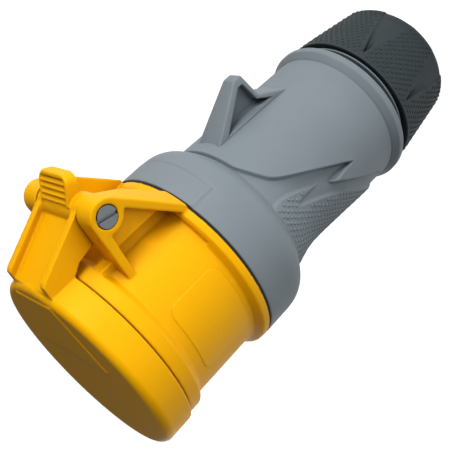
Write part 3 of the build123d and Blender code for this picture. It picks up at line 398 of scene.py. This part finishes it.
def smooth_curve(points, steps=12):
    """A curve that runs through every point, for waists and waves."""
    points = np.array(points, float)
    ends = np.vstack((2 * points[0] - points[1], points, 2 * points[-1] - points[-2]))
    curve = []
    for index in range(1, len(ends) - 2):
        p0, p1, p2, p3 = ends[index - 1 : index + 3]
        for share in np.arange(steps) / steps:
            curve.append(
                0.5 * (2 * p1 + (p2 - p0) * share + (2 * p0 - 5 * p1 + 4 * p2 - p3) * share**2)
                + 0.5 * (3 * p1 - p0 - 3 * p2 + p3) * share**3
            )
    return np.array(curve + [points[-1]])


def swell(depth, half_width):
    """0 outside, 1 inside, and a soft change over the width of the step."""
    share = np.clip(depth / (2 * half_width) + 0.5, 0, 1)
    return share * share * (3 - 2 * share)


def depth_inside(x, y, border):
    """How deep each point lies inside a closed border: negative when it is outside."""
    best = np.full(x.shape, 1e9)
    inside = np.zeros(x.shape, bool)
    for (ax, ay), (bx, by) in zip(border, np.roll(border, -1, axis=0)):
        dx, dy = bx - ax, by - ay
        share = np.clip(((x - ax) * dx + (y - ay) * dy) / (dx * dx + dy * dy + 1e-12), 0, 1)
        best = np.minimum(best, np.hypot(x - ax - share * dx, y - ay - share * dy))
        crosses = (ay > y) != (by > y)
        inside ^= crosses & (x < ax + (y - ay) / (dy if dy else 1e-12) * dx)
    return np.where(inside, best, -best)


print("a swell of 1 mm half way:", float(swell(np.array(0.0), 0.5)))

# %% [markdown]
# A turned outline is a net with one row for every outline point and one column for every angle.
# Its faces all have four corners, so the shading runs smoothly over it. One helper joins points
# and faces into a mesh, sets it on a body of the frame, so that it moves with the joints, and
# hides the engineering piece it stands for.

# %% Turning a net and making it a piece
SLOT = {entry["node"]: entry["material_slot"] for entry in frame["record"]["subparts"]}


def seat_piece(piece, body, material, stands_for=()):
    """Smooth shading, one finish, a body to ride on, and the engineering node it stands for hidden."""
    mesh = piece.data
    mesh.polygons.foreach_set("use_smooth", [True] * len(mesh.polygons))
    mesh.materials.clear()
    mesh.materials.append(material)
    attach(piece, body)
    if stands_for:
        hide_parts(*stands_for)
    print(piece.name, sum(len(face.vertices) - 2 for face in mesh.polygons), "triangles")


def add_piece(name, points, faces, body, material, slot, stands_for=()):
    """A smooth piece from points in millimetres, riding on a body of the frame."""
    mesh = bpy.data.meshes.new(name)
    mesh.from_pydata((np.asarray(points) * MM).tolist(), [], [list(map(int, face)) for face in faces])
    mesh.validate()
    piece = bpy.data.objects.new(name, mesh)
    bpy.context.scene.collection.objects.link(piece)
    seat_piece(piece, body, material, stands_for)


def turned_net(outline, turn):
    """Angles, radii and heights of an outline turned round the axis, one row per outline point."""
    angle, radius = np.meshgrid(turn, outline[:, 0])
    height = np.repeat(outline[:, 1][:, None], len(turn), axis=1)
    return angle, radius, height


def net_points(angle, radius, height):
    """Angle 0 looks at the hinge, and a quarter turn on is the side with the pin's head."""
    return np.stack((-radius * np.sin(angle), -radius * np.cos(angle), height), -1).reshape(-1, 3)


def net_faces(rows, columns):
    """Four-sided faces of a turned net, whose last row joins its first."""
    row, column = np.meshgrid(np.arange(rows), np.arange(columns), indexing="ij")
    here, below = row * columns, (row + 1) % rows * columns
    beside = (column + 1) % columns
    return np.stack((here + column, here + beside, below + beside, below + column), -1).reshape(-1, 4)


seam_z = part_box("rear_housing")[1].z / MM
print("the seam between collar and grip is at", round(seam_z, 2), "mm")

# %% [markdown]
# The borders of the wave and of the palm pad are drawn on the barrel as on unrolled paper: one
# coordinate is the angle from the hinge side in degrees, the other the distance down from the
# seam. The real mould is the same on both flanks, so half of the paper is enough and the other
# half is its mirror image.

# %% Borders of the wave and the palm pad
PAPER = math.radians(1) * 24.5
RING = 32.5
wave_curve = smooth_curve([(29, 21.3), (34, 21.9), (47, 24.7), (56, 28.3), (69, 39.0)])
wave_border = np.vstack((
    [(-40, 21.3)], wave_curve,
    [(87, 54.3), (88, 44.2), (120, 65.8), (142, 73.4), (220, 76), (220, 95), (-40, 95)],
)) * (PAPER, 1)
pad_curve = smooth_curve([(71, 19.3), (67.2, 21.6), (67.6, 26.1), (73, 32.6), (82.5, 40.8)])
pad_border = np.vstack((
    pad_curve, [(82.4, 30.8), (104, 49.6), (134, 64.4), (150, 69.5), (220, 72), (220, 19.3)],
)) * (PAPER, 1)
ring_paper = math.radians(1) * RING
panel_border = np.array([(-36, -5), (36, -5), (36, 8.7), (-36, 8.7)]) * (ring_paper, 1)
print("wave", len(wave_border), "and pad", len(pad_border), "border points")


def unrolled(angle):
    """Degrees from the hinge side, the same on both flanks."""
    return np.degrees(np.abs((angle + math.pi) % (2 * math.pi) - math.pi))


def shell_push(angle, drop, radius):
    """How far the shell stands above the waisted core; the core rises towards it on the hinge side."""
    depth = depth_inside(unrolled(angle) * PAPER, drop, wave_border)
    shell = 26.9 - (drop - 20.3) * 1.6 / 54
    near_hinge = swell(74 - unrolled(angle), 8)
    rise = near_hinge * np.maximum(shell - 0.9 - radius, 0.0) * np.exp(np.minimum(depth, 0.0) / 3.0)
    step = rise + np.maximum(shell - radius - rise, 0.0) * swell(depth, 0.2)
    lip = 0.10 * np.exp(-(((depth - 0.45) / 0.28) ** 2))
    groove = 0.20 * np.exp(-(((depth + 0.42) / 0.27) ** 2))
    on_barrel = swell(drop - 21.3, 1.2) * swell(74.0 - drop, 1.0)
    return step * swell(drop - 20.6, 0.6) * swell(74.8 - drop, 0.8) + (lip - groove) * on_barrel


def pad_push(angle, drop):
    """The pad is a low plateau with a sloping edge about a millimetre wide."""
    depth = depth_inside(unrolled(angle) * PAPER, drop, pad_border)
    rim = 0.07 * np.exp(-(((depth - 1.1) / 0.35) ** 2))
    return (0.62 * swell(depth - 0.45, 0.5) + rim) * swell(drop - 20.0, 1.4)


def panel_push(angle, drop):
    """A thin raised field on the hinge side of the ring, with a fine groove round it."""
    depth = depth_inside(unrolled(angle) * ring_paper, drop, panel_border)
    return 0.16 * swell(depth, 0.14) - 0.16 * np.exp(-(((depth + 0.3) / 0.2) ** 2))


pad_height = pad_push(np.radians(100.0), np.array(30.0))
print("30 mm below the seam the pad stands", round(float(pad_height), 2), "mm above the core")

# %% [markdown]
# The barrel's outline runs from the seam down over the ring, the shoulder, the waist, the heel
# and the threaded neck, and back up through the hollow inside. Rows lie close together only
# where a step or a groove needs them, and they are listed from top to bottom.

# %% The barrel's outline
waist = smooth_curve(
    [(25.4, 22.2), (23.6, 31.0), (23.4, 38.0), (24.1, 50.0), (24.9, 62.0), (25.3, 74.3)], 21
)
shoulder = smooth_curve(
    [(RING, 8.0), (RING, 10.2), (32.15, 13.2), (30.8, 16.4), (27.9, 19.5), (26.2, 20.6), (25.4, 22.2)], 5
)
heel = rounded_outline([
    (25.3, 74.3, 0), (25.48, 74.36, 0.08), (27.25, 76.4, 0.3), (27.25, 78.6, 0.5),
    (25.8, 79.5, 0.2), (22.4, 79.5, 0),
])
gap_rows = [(22.4, drop) for drop in (80.1, 80.6, *np.arange(80.8, 81.75, 0.1), 82.0, 82.6)]
neck = rounded_outline([(22.4, 82.6, 0), (22.4, 98.5, 0.4), (16.8, 98.5, 0.3)])
outer = np.vstack((
    resampled(rounded_outline([(30.3, 0.0, 0), (RING, 0.0, 0.35), (RING, 8.0, 0)]), 1.0),
    [(RING, 8.0 + 0.17 * step) for step in range(1, 9)],
    shoulder[shoulder[:, 1] > 9.5],
    waist[1:],
    resampled(heel, 0.35)[1:],
    gap_rows,
    resampled(neck, 0.7)[1:],
))
inner = [
    (16.8, 81.5), (13.0, 81.5), (13.0, 79.5), (20.6, 67.0),
    (20.6, 25.0), (24.3, 17.5), (24.3, 12.0), (30.3, 12.0),
]
outline = np.vstack((outer, inner))
print("the outline has", len(outer), "points outside and", len(inner), "inside")

# %% [markdown]
# Columns are dear, because each one costs a face in every row. So they are crowded on the two
# flanks, where the wave and the pads have their edges, and spread out in front and behind. Then
# the radii are pushed: the shell and the pad on the barrel, the label panel on the ring.

# %% The waisted barrel with its wave and pads
BARREL_COLUMNS = 400
everywhere = np.linspace(0, 2 * math.pi, 3601)
crowding = np.cumsum(np.where(np.abs(unrolled(everywhere) - 90) < 66, 1.0, 0.35))
crowding = (crowding - crowding[0]) / (crowding[-1] - crowding[0])
turns = np.interp(np.arange(BARREL_COLUMNS) / BARREL_COLUMNS, crowding, everywhere)
angle, radius, drop = turned_net(outline, turns)
on_outside = (np.arange(len(outline)) < len(outer))[:, None]
push = shell_push(angle, drop, radius) + pad_push(angle, drop) * (drop < 74)
radius = radius + np.where(on_outside & (drop > 20.2) & (drop < 76), push, 0)
radius = radius + np.where(on_outside & (drop < 11), panel_push(angle, drop), 0)
print("the barrel is", round(float(radius.max()) * 2, 2), "mm wide at most")

# %% [markdown]
# Behind the heel the neck carries a thread for the nut. It is a wave along the axis that is
# shifted by one pitch for every turn round it. Where the nut leaves a gap, the first turn fades
# in as a pale crest, which is all that is seen of the thread while the nut is screwed on.

# %% The thread on the neck
PITCH = 3.0
lead_in = (np.degrees(angle) + 15) % 360 / 360
thread_turn = ((drop - 79.9) / PITCH - lead_in) % 1.0
crest = swell(0.25 - np.abs(thread_turn - 0.5), 0.1)
on_thread = swell(drop - 82.4, 0.3) * swell(97.9 - drop, 0.5)
on_neck = on_outside & (drop > 79.5) & (radius < 23)
radius = radius + np.where(on_neck, 0.75 * crest * on_thread, 0)
first_turn = np.cos(np.clip(unrolled(angle - 0.8) / 95, 0, 1) * math.pi / 2)
radius = radius + np.where(on_neck, 3.6 * first_turn * swell(0.3 - np.abs(drop - 81.25), 0.1), 0)
add_piece(
    "grip_barrel", net_points(angle, radius, seam_z - drop), net_faces(*angle.shape), "housing",
    grey_nylon, SLOT["rear_housing"], ("rear_housing",),
)

# %% [markdown]
# On the hinge side stands a hook, by which the coupler is hung up. It is a blade that gets
# thinner outwards and is hollowed from both flanks, so that its walls cool evenly in the mould.
# Its side view is drawn as two outlines, the hook and the hollow; the space between them is the
# rim, and the hollow's floor is a thin web in the middle.

# %% The hollow hook
hook_outline = [
    (21.0, 24.5), (25.6, 24.5), (38.5, 42.6), (38.5, 45.9), (30.1, 47.8), (25.4, 58.0), (21.0, 58.0),
]
hook_hollow = [(26.8, 30.9), (35.9, 42.8), (35.9, 44.7), (29.3, 46.4), (26.8, 50.8)]


def hook_half_width(reach):
    """The blade narrows in a straight line from its root to its crest."""
    return 5.4 - (max(reach, 25.6) - 25.6) * 2.8 / 12.9


hook_mesh = bmesh.new()


def on_flank(side, drawing):
    """Corners of a side view set on one flank of the blade."""
    return [
        hook_mesh.verts.new((side * hook_half_width(reach) * MM, -reach * MM, (seam_z - drop) * MM))
        for reach, drop in drawing
    ]


rims = {}
for side in (-1, 1):
    rims[side] = on_flank(side, hook_outline)
    mouth = on_flank(side, hook_hollow)
    floor = [hook_mesh.verts.new((side * 0.9 * MM, corner.co.y, corner.co.z)) for corner in mouth]
    rim = rims[side]
    for near, far in ((0, 1), (1, 2), (2, 3), (3, 4)):
        hook_mesh.faces.new((rim[near + 1], rim[far + 1], mouth[far], mouth[near]))
    hook_mesh.faces.new((rim[0], rim[1], mouth[0], mouth[4], rim[5], rim[6]))
    for near in range(5):
        far = (near + 1) % 5
        hook_mesh.faces.new((mouth[near], mouth[far], floor[far], floor[near]))
    hook_mesh.faces.new(floor)
for near in range(7):
    far = (near + 1) % 7
    hook_mesh.faces.new((rims[-1][near], rims[-1][far], rims[1][far], rims[1][near]))
bmesh.ops.recalc_face_normals(hook_mesh, faces=hook_mesh.faces)
print("the blade has", len(hook_mesh.faces), "faces before its edges are rounded")

# %% [markdown]
# A mould can't have a sharp edge, and neither can a hook that hands touch. Every edge that
# bends by more than 20 degrees is rounded with three small steps. They are real faces, not a
# trick of shading, because the hook stands out against the background.

# %% Bevels round the hook
sharp = [edge for edge in hook_mesh.edges if edge.calc_face_angle(0) > math.radians(20)]
bmesh.ops.bevel(
    hook_mesh, geom=sharp, offset=0.45 * MM, offset_type="OFFSET", segments=3, profile=0.5,
    affect="EDGES", clamp_overlap=True,
)
hook_points = [np.array(corner.co) / MM for corner in hook_mesh.verts]
hook_mesh.verts.index_update()
hook_faces = [[corner.index for corner in face.verts] for face in hook_mesh.faces]
add_piece("hanging_hook", hook_points, hook_faces, "housing", grey_nylon, SLOT["rear_housing"])
hook_mesh.free()

# %% [markdown]
# The palm pads and the nut are covered with small raised nubs, set like the spots of a five on
# a die, so that a wet glove still holds. Each nub is a low dome of three rings and a tip. They
# are real geometry, because a nub's shaded side and its lit side are what makes the pattern
# readable from a distance. The computer plants them on a lattice and leaves out every place
# that comes too close to a border.

# %% One nub and its lattice


def plant_nubs(angle, radius, height, tall):
    """Points and faces of one low dome of ten-sided rings at every place given."""
    outward = np.stack((-np.sin(angle), -np.cos(angle), np.zeros_like(angle)), -1)
    around = np.stack((-np.cos(angle), np.sin(angle), np.zeros_like(angle)), -1)
    middle = outward * radius[:, None] + np.stack((0 * angle, 0 * angle, height), -1)
    rings = []
    turn = np.arange(10) * math.pi / 5
    for ring_radius, lift in ((0.64, -0.07), (0.56, 0.08), (0.36, 0.20)):
        ring = middle[:, None] + outward[:, None] * lift * tall
        ring = ring + around[:, None] * (ring_radius * np.cos(turn))[None, :, None]
        rings.append(ring + np.array((0, 0, 1)) * (ring_radius * np.sin(turn))[None, :, None])
    tip = middle + outward * 0.24 * tall
    points = np.concatenate((*rings, tip[:, None]), axis=1).reshape(-1, 3)
    one = [(k, (k + 1) % 10, 10 + (k + 1) % 10, 10 + k) for k in range(10)]
    one += [[10 + corner for corner in face] for face in one]
    one += [(20 + k, 20 + (k + 1) % 10, 30) for k in range(10)]
    corners_each = 31
    faces = [[corners_each * nub + corner for corner in face] for nub in range(len(angle)) for face in one]
    return points, faces


def lattice(radius, first, rows):
    """Angles and distances along the axis of every second place of a fine grid, as on a die."""
    step_around, step_along = 1.12, 1.38
    columns = 2 * round(math.pi * radius / step_around)
    column, row = np.meshgrid(np.arange(columns), np.arange(rows))
    spots = ((column + row) % 2 == 0).ravel()
    return (column.ravel() * 2 * math.pi / columns)[spots], (first + row.ravel() * step_along)[spots]


print("a lattice of 2 rows has", len(lattice(24.0, 0.0, 2)[0]), "places")

# %% [markdown]
# On the grip the nubs stand on the pads only. A place is kept if it lies well inside the pad's
# border and well outside the wave's, and the radius under it is computed by the same pushes
# that shaped the barrel, so that no nub floats or drowns.

# %% Nubs on the palm pads
core_profile = np.vstack((shoulder, waist[1:]))
nub_angle, nub_drop = lattice(24.0, 20.4, 40)
paper_x = unrolled(nub_angle) * PAPER
on_pad = depth_inside(paper_x, nub_drop, pad_border) > 1.6
clear_of_shell = depth_inside(paper_x, nub_drop, wave_border) < -1.4
planted = on_pad & clear_of_shell & (nub_drop < 70.5)
nub_angle, nub_drop = nub_angle[planted], nub_drop[planted]
core = np.interp(nub_drop, core_profile[:, 1], core_profile[:, 0])
nub_radius = core + shell_push(nub_angle, nub_drop, core) + pad_push(nub_angle, nub_drop)
add_piece(
    "pad_nubs", *plant_nubs(nub_angle, nub_radius, seam_z - nub_drop, 1.4), "housing",
    grey_nylon, SLOT["rear_housing"],
)
print(len(nub_angle), "nubs on the pads")

# %% [markdown]
# The gland nut is a short cone. Three pairs of slanted facets give the fingers something to
# push against: each starts as a point near the grip and widens towards the cable end, and along
# one side it is sunk, so a crescent-shaped wall shows there. The nut is thrown on the same
# wheel as the grip, and the facets are pushed in. First comes the place of a facet and the
# depth of its floor.

# %% The facets of the gland nut
nut_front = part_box("gland_nut")[1].z / MM
apex_height = nut_front - 1.8
FACETS = [(middle, hand) for middle in (60, 180, 300) for hand in (-1, 1)]


def facet_place(turn, height, hand, middle):
    """Share of the way down a facet, share of the way across it, and its width in millimetres."""
    swing = hand * ((turn - middle + 180) % 360 - 180)
    down = (apex_height - height) / apex_height
    short_side = 25 - 10 * down
    long_side = 25 + 19 * down
    width = np.maximum(long_side - short_side, 1e-3)
    return down, (swing - short_side) / width, width * math.radians(1) * 24.5


def facet_push(angle, height):
    """How deep the facets are sunk into the nut's cone."""
    turn = np.degrees(angle)
    depth = np.zeros(angle.shape)
    for middle, hand in FACETS:
        down, across, width = facet_place(turn, height, hand, middle)
        fall = 0.35 * down + 21.0 * down * np.clip(1 - down, 0, 1) ** 5
        wall = 0.12 + 0.26 * np.clip(fall, 0, 2)
        edge = swell((1 - across) * width - wall, wall)
        floor_share = np.clip(across * width / np.maximum(width - 2.2 * wall, 0.4), 0, 1)
        thin_line = 0.12 * swell(across * width - 0.15, 0.13)
        fade = swell(down * apex_height - 0.4, 0.6)
        depth += (floor_share * fall + thin_line) * edge * fade * (across > 0)
    return depth


print("facets start", round(apex_height, 2), "mm above the table")

# %% [markdown]
# The nut's outline runs down the cone, round the open end and back up the thread's wall. Only
# the cone carries facets, so only its rows lie close together. Where a facet is deep, the push
# stops just outside the thread, or the nut would have a hole there.

# %% The gland nut
NUT_COLUMNS = 708
nut_outline = rounded_outline([
    (23.4, nut_front, 0), (26.0, nut_front, 0.5), (22.7, 2.0, 1.6), (20.6, 0.0, 1.4), (11.0, 0.0, 0.4),
    (11.0, 4.0, 0.3), (17.8, 4.0, 0.2), (17.8, 13.2, 0.2), (23.4, 13.2, 0.2), (23.4, nut_front, 0),
], 5)
turns_in = np.argmax(nut_outline[:, 0] < 19)
nut_rows = np.vstack((
    resampled(nut_outline[:turns_in], 0.38), resampled(nut_outline[turns_in - 1 :], 2.5)[1:-1],
))
turns = np.linspace(0, 2 * math.pi, NUT_COLUMNS, endpoint=False)
angle, radius, height = turned_net(nut_rows, turns)
outside_rows = (np.arange(len(nut_rows)) < np.argmax(nut_rows[:, 0] < 19.5))[:, None]
on_cone = outside_rows & (radius > 23.9 - (nut_front - height) * 0.127)
thread_wall = np.where(height > 12.8, 23.7, 0.0)
radius = np.where(on_cone, np.maximum(radius - facet_push(angle, height), thread_wall), radius)
add_piece(
    "nut_shell", net_points(angle, radius, height), net_faces(*angle.shape)[:, ::-1], "nut",
    dark_nylon, SLOT["gland_nut"], ("gland_nut",),
)

# %% [markdown]
# The nut has the same nubs as the pads, a little lower, everywhere between the facets. The same
# rule that places a facet tells how far a nub stands beside it.

# %% Nubs on the nut
nub_angle, nub_height = lattice(24.4, 3.6, 18)
planted = nub_height < nut_front - 1.3
for middle, hand in FACETS:
    down, across, width = facet_place(np.degrees(nub_angle), nub_height, hand, middle)
    beside = np.maximum(-across * width, (across - 1) * width)
    planted &= (beside > 0.85) | (down < -0.03)
nub_angle, nub_height = nub_angle[planted], nub_height[planted]
cone = 26.0 - (nut_front - nub_height) * 3.3 / (nut_front - 2.0)
add_piece(
    "nut_nubs", *plant_nubs(nub_angle, cone, nub_height, 1.15), "nut", dark_nylon, SLOT["gland_nut"]
)
print(len(nub_angle), "nubs on the nut")

# %% [markdown]
# The yellow front is the opposite of the grip: an angular casting with a lever, ears and a
# thumb tab. Its solids are right, but every edge in them is a knife edge, while a mould leaves a
# radius on each one and a fillet in each inner corner. Rounding hundreds of edges one by one
# would fail where they meet. So a copy of the solid is given a new skin of small even squares
# and relaxed a few times, as a potter rubs clay with a wet thumb, and then thinned out again
# where it is flat. Before that the copy may be carved and built up with helper solids, where
# the moulding is finer than the engineering model.

# %% Helper solids and soft skins


def helper_solid(name, sections):
    """A closed solid through sections of equal size, each a ring of points in millimetres."""
    sections = np.array(sections, float)
    count, size = sections.shape[:2]
    ring = [(corner, (corner + 1) % size) for corner in range(size)]
    faces = [
        (start + here, start + on, start + size + on, start + size + here)
        for start in range(0, (count - 1) * size, size) for here, on in ring
    ]
    faces += [list(range(size))[::-1], list(range((count - 1) * size, count * size))]
    mesh = bpy.data.meshes.new(name)
    mesh.from_pydata((sections.reshape(-1, 3) * MM).tolist(), [], faces)
    shape = bmesh.new()
    shape.from_mesh(mesh)
    bmesh.ops.recalc_face_normals(shape, faces=shape.faces)
    shape.to_mesh(mesh)
    shape.free()
    solid = bpy.data.objects.new(name, mesh)
    bpy.context.scene.collection.objects.link(solid)
    return solid


def soft_skin(name, node_name, body, material, square, rubs, keep, carved, added=()):
    """A copy of a solid, carved and built up, with an even skin whose edges are rubbed round."""
    source = nodes[node_name]
    piece = bpy.data.objects.new(name, source.data.copy())
    piece.matrix_world = source.matrix_world.copy()
    bpy.context.scene.collection.objects.link(piece)
    for kind, helpers in (("DIFFERENCE", carved), ("UNION", added)):
        for helper in helpers:
            cut = piece.modifiers.new(helper.name, "BOOLEAN")
            cut.operation = kind
            cut.solver = "EXACT"
            cut.object = helper
    remesh = piece.modifiers.new("even_skin", "REMESH")
    remesh.mode = "VOXEL"
    remesh.voxel_size = square * MM
    rub = piece.modifiers.new("wet_thumb", "SMOOTH")
    rub.factor = 0.5
    rub.iterations = rubs
    thin = piece.modifiers.new("thin_out", "DECIMATE")
    thin.ratio = keep
    shaped = bpy.data.meshes.new_from_object(piece.evaluated_get(bpy.context.evaluated_depsgraph_get()))
    piece.modifiers.clear()
    piece.data = shaped
    for helper in (*carved, *added):
        bpy.data.objects.remove(helper)
    seat_piece(piece, body, material, (node_name,))


print("the solid of the lid has", len(nodes["hinged_lid"].data.polygons), "facets before its soft skin")

# %% [markdown]
# The thumb tab is a plate that leans away from the pin, with ridges for a wet thumb. On the
# moulding its two outer corners are round and a low frame runs round the ridges. Both are drawn
# flat on the tab's face, across and along it, and then stood up there: two cutters take the
# corners away and one ring is added.

# %% The lid and its thumb tab
pin_low, pin_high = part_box("hinge_pin")
pin_reach = -(pin_low.y + pin_high.y) / 2 / MM
pin_height = (pin_low.z + pin_high.z) / 2 / MM
TAB_HALF = 7.5
tab_root = np.array((0.0, -(pin_reach + 3.2), pin_height + 3.7))
along_tab = np.array((0.0, -0.872, -0.489))
off_tab = np.array((0.0, -0.489, 0.872))


def on_tab(flat, lift):
    """Points drawn on the tab's face, across and along, lifted off it."""
    flat = np.array(flat, float)
    across = flat[:, :1] * (1, 0, 0)
    return tab_root + across + flat[:, 1:] * along_tab + lift * off_tab


def tab_arc(side, half_width, tip, round_radius):
    """The rounded corner of the tab, from its side to its tip."""
    turn = np.radians(np.linspace(0, 90, 9))
    across = side * (half_width - round_radius + round_radius * np.cos(turn))
    along = tip - round_radius + round_radius * np.sin(turn)
    return list(zip(across, along))


def tab_arch(half_width, tip, round_radius):
    """An arch with two round corners that stands on the tab's root."""
    right, left = (tab_arc(side, half_width, tip, round_radius) for side in (1, -1))
    return [(half_width, 0.4), *right, *left[::-1], (-half_width, 0.4)]


tab_cutters = []
for side in (-1, 1):
    corner = tab_arc(side, TAB_HALF, 9.75, 3.0) + [(side * 4.5, 13), (side * 10, 13), (side * 10, 6.75)]
    tab_cutters.append(helper_solid("tab_corner", [on_tab(corner, -7), on_tab(corner, 3)]))
frame_flat = tab_arch(TAB_HALF, 9.15, 2.9) + tab_arch(TAB_HALF - 1, 8.3, 2.0)[::-1]
tab_frame = helper_solid("tab_frame", [on_tab(frame_flat, -0.8), on_tab(frame_flat, 0.5)])
soft_skin("lid_skin", "hinged_lid", "lid", yellow_nylon, 0.25, 7, 0.3, tab_cutters, (tab_frame,))

# %% [markdown]
# Each hinge ear has two arms with a thin web between them, and the web stops short of the tube,
# so a dark pocket shows beside it. A cutter follows the round tube from slice to slice and
# clears that pocket. A second cutter takes the label field off the tube, because the soft skin
# would blur its thin border.

# %% The collar and its ears
mouth_z = 148.0
collar_radius = 29.5
ear_cutters, field_cutters = [], []
for side in (-1, 1):
    sections = []
    for reach in (31.2, 29.4, 28.0, 26.9, 26.0, 24.0, 22.0, 20.0, 17.6):
        round_x = math.sqrt(max(collar_radius**2 - reach**2, 0.0))
        near, far = side * max(12.4, round_x), side * 27
        deep = min(32.15, 28.7 + (31.2 - reach) * 1.02)
        sections.append([
            (near, -reach, mouth_z - 11.9), (far, -reach, mouth_z - 11.9),
            (far, -reach, mouth_z - deep), (near, -reach, mouth_z - deep),
        ])
    ear_cutters.append(helper_solid("ear_recess", sections))
    sections = []
    for turn in np.radians(np.arange(-29, 28, 2)):
        out = np.array((side * math.cos(turn), math.sin(turn)))
        low, high = mouth_z - 29.95, mouth_z - 9.9
        tube, air = out * collar_radius, out * 29.85
        sections.append([(*tube, low), (*air, low), (*air, high), (*tube, high)])
    field_cutters.append(helper_solid("field_removed", sections))
cutters = (*ear_cutters, *field_cutters)
soft_skin("collar_skin", "front_collar", "housing", yellow_nylon, 0.28, 6, 0.25, cutters)

# %% [markdown]
# The label fields are raised by two tenths of a millimetre and have a crisp border with round
# corners. They are made like the grip: a curved net just below the tube's surface is pushed out
# where it lies inside the border. Outside the border it stays hidden in the tube.

# %% The label fields
FIELD_COLUMNS, FIELD_ROWS = 190, 118
half_long, half_high, corner = 12.15, 9.8, 3.0
turn, field_drop = np.meshgrid(
    np.radians(np.linspace(-27.5, 24.5, FIELD_COLUMNS)), np.linspace(9.4, 30.6, FIELD_ROWS)
)
dx = np.abs(collar_radius * np.sin(turn) + 0.75) - (half_long - corner)
dy = np.abs(field_drop - 20.0) - (half_high - corner)
inside = corner - np.hypot(np.maximum(dx, 0), np.maximum(dy, 0)) - np.minimum(np.maximum(dx, dy), 0)
field_radius = collar_radius - 0.22 + 0.42 * swell(inside, 0.12)
row, column = np.meshgrid(np.arange(FIELD_ROWS - 1), np.arange(FIELD_COLUMNS - 1), indexing="ij")
here = row * FIELD_COLUMNS + column
below = here + FIELD_COLUMNS
corners = np.stack((here, here + 1, below + 1, below), -1).reshape(-1, 4)
field_points, field_faces = [], []
for side in (-1, 1):
    x, y = side * field_radius * np.cos(turn), field_radius * np.sin(turn)
    start = len(field_points) * turn.size
    field_points.append(np.stack((x, y, mouth_z - field_drop), -1).reshape(-1, 3))
    field_faces.append((corners if side < 0 else corners[:, ::-1]) + start)
add_piece(
    "label_fields", np.vstack(field_points), np.vstack(field_faces), "housing", label_nylon,
    SLOT["front_collar"],
)

# %% [markdown]
# The torsion spring has one leg against the collar and one under the thumb tab. As one stiff
# piece it would cut deep into the lever when the lid opens. Its skin is therefore parted where
# the upper leg leaves the coil: the coil and the lower leg stay with the ears, and the upper leg
# turns with the lid, as the end of a real spring does.

# %% The spring in two parts


def spring_part(name, body, on_upper_leg, stands_for=()):
    """The faces of the spring that belong to its upper leg, or all the others."""
    coil_reach = 3.65
    source = nodes["lid_spring"]
    wire = bmesh.new()
    wire.from_mesh(source.data)
    wire.transform(source.matrix_world)
    others = []
    for face in wire.faces:
        middle = face.calc_center_median() / MM
        out, down = -middle.y - pin_reach, pin_height - middle.z
        upper = out > 0 and math.hypot(out, down) > coil_reach
        if upper != on_upper_leg:
            others.append(face)
    bmesh.ops.delete(wire, geom=others, context="FACES")
    mesh = bpy.data.meshes.new(name)
    wire.to_mesh(mesh)
    wire.free()
    piece = bpy.data.objects.new(name, mesh)
    bpy.context.scene.collection.objects.link(piece)
    seat_piece(piece, body, spring_wire, stands_for)


spring_part("spring_coil", "housing", False, ("lid_spring",))
spring_part("spring_leg", "lid", True)
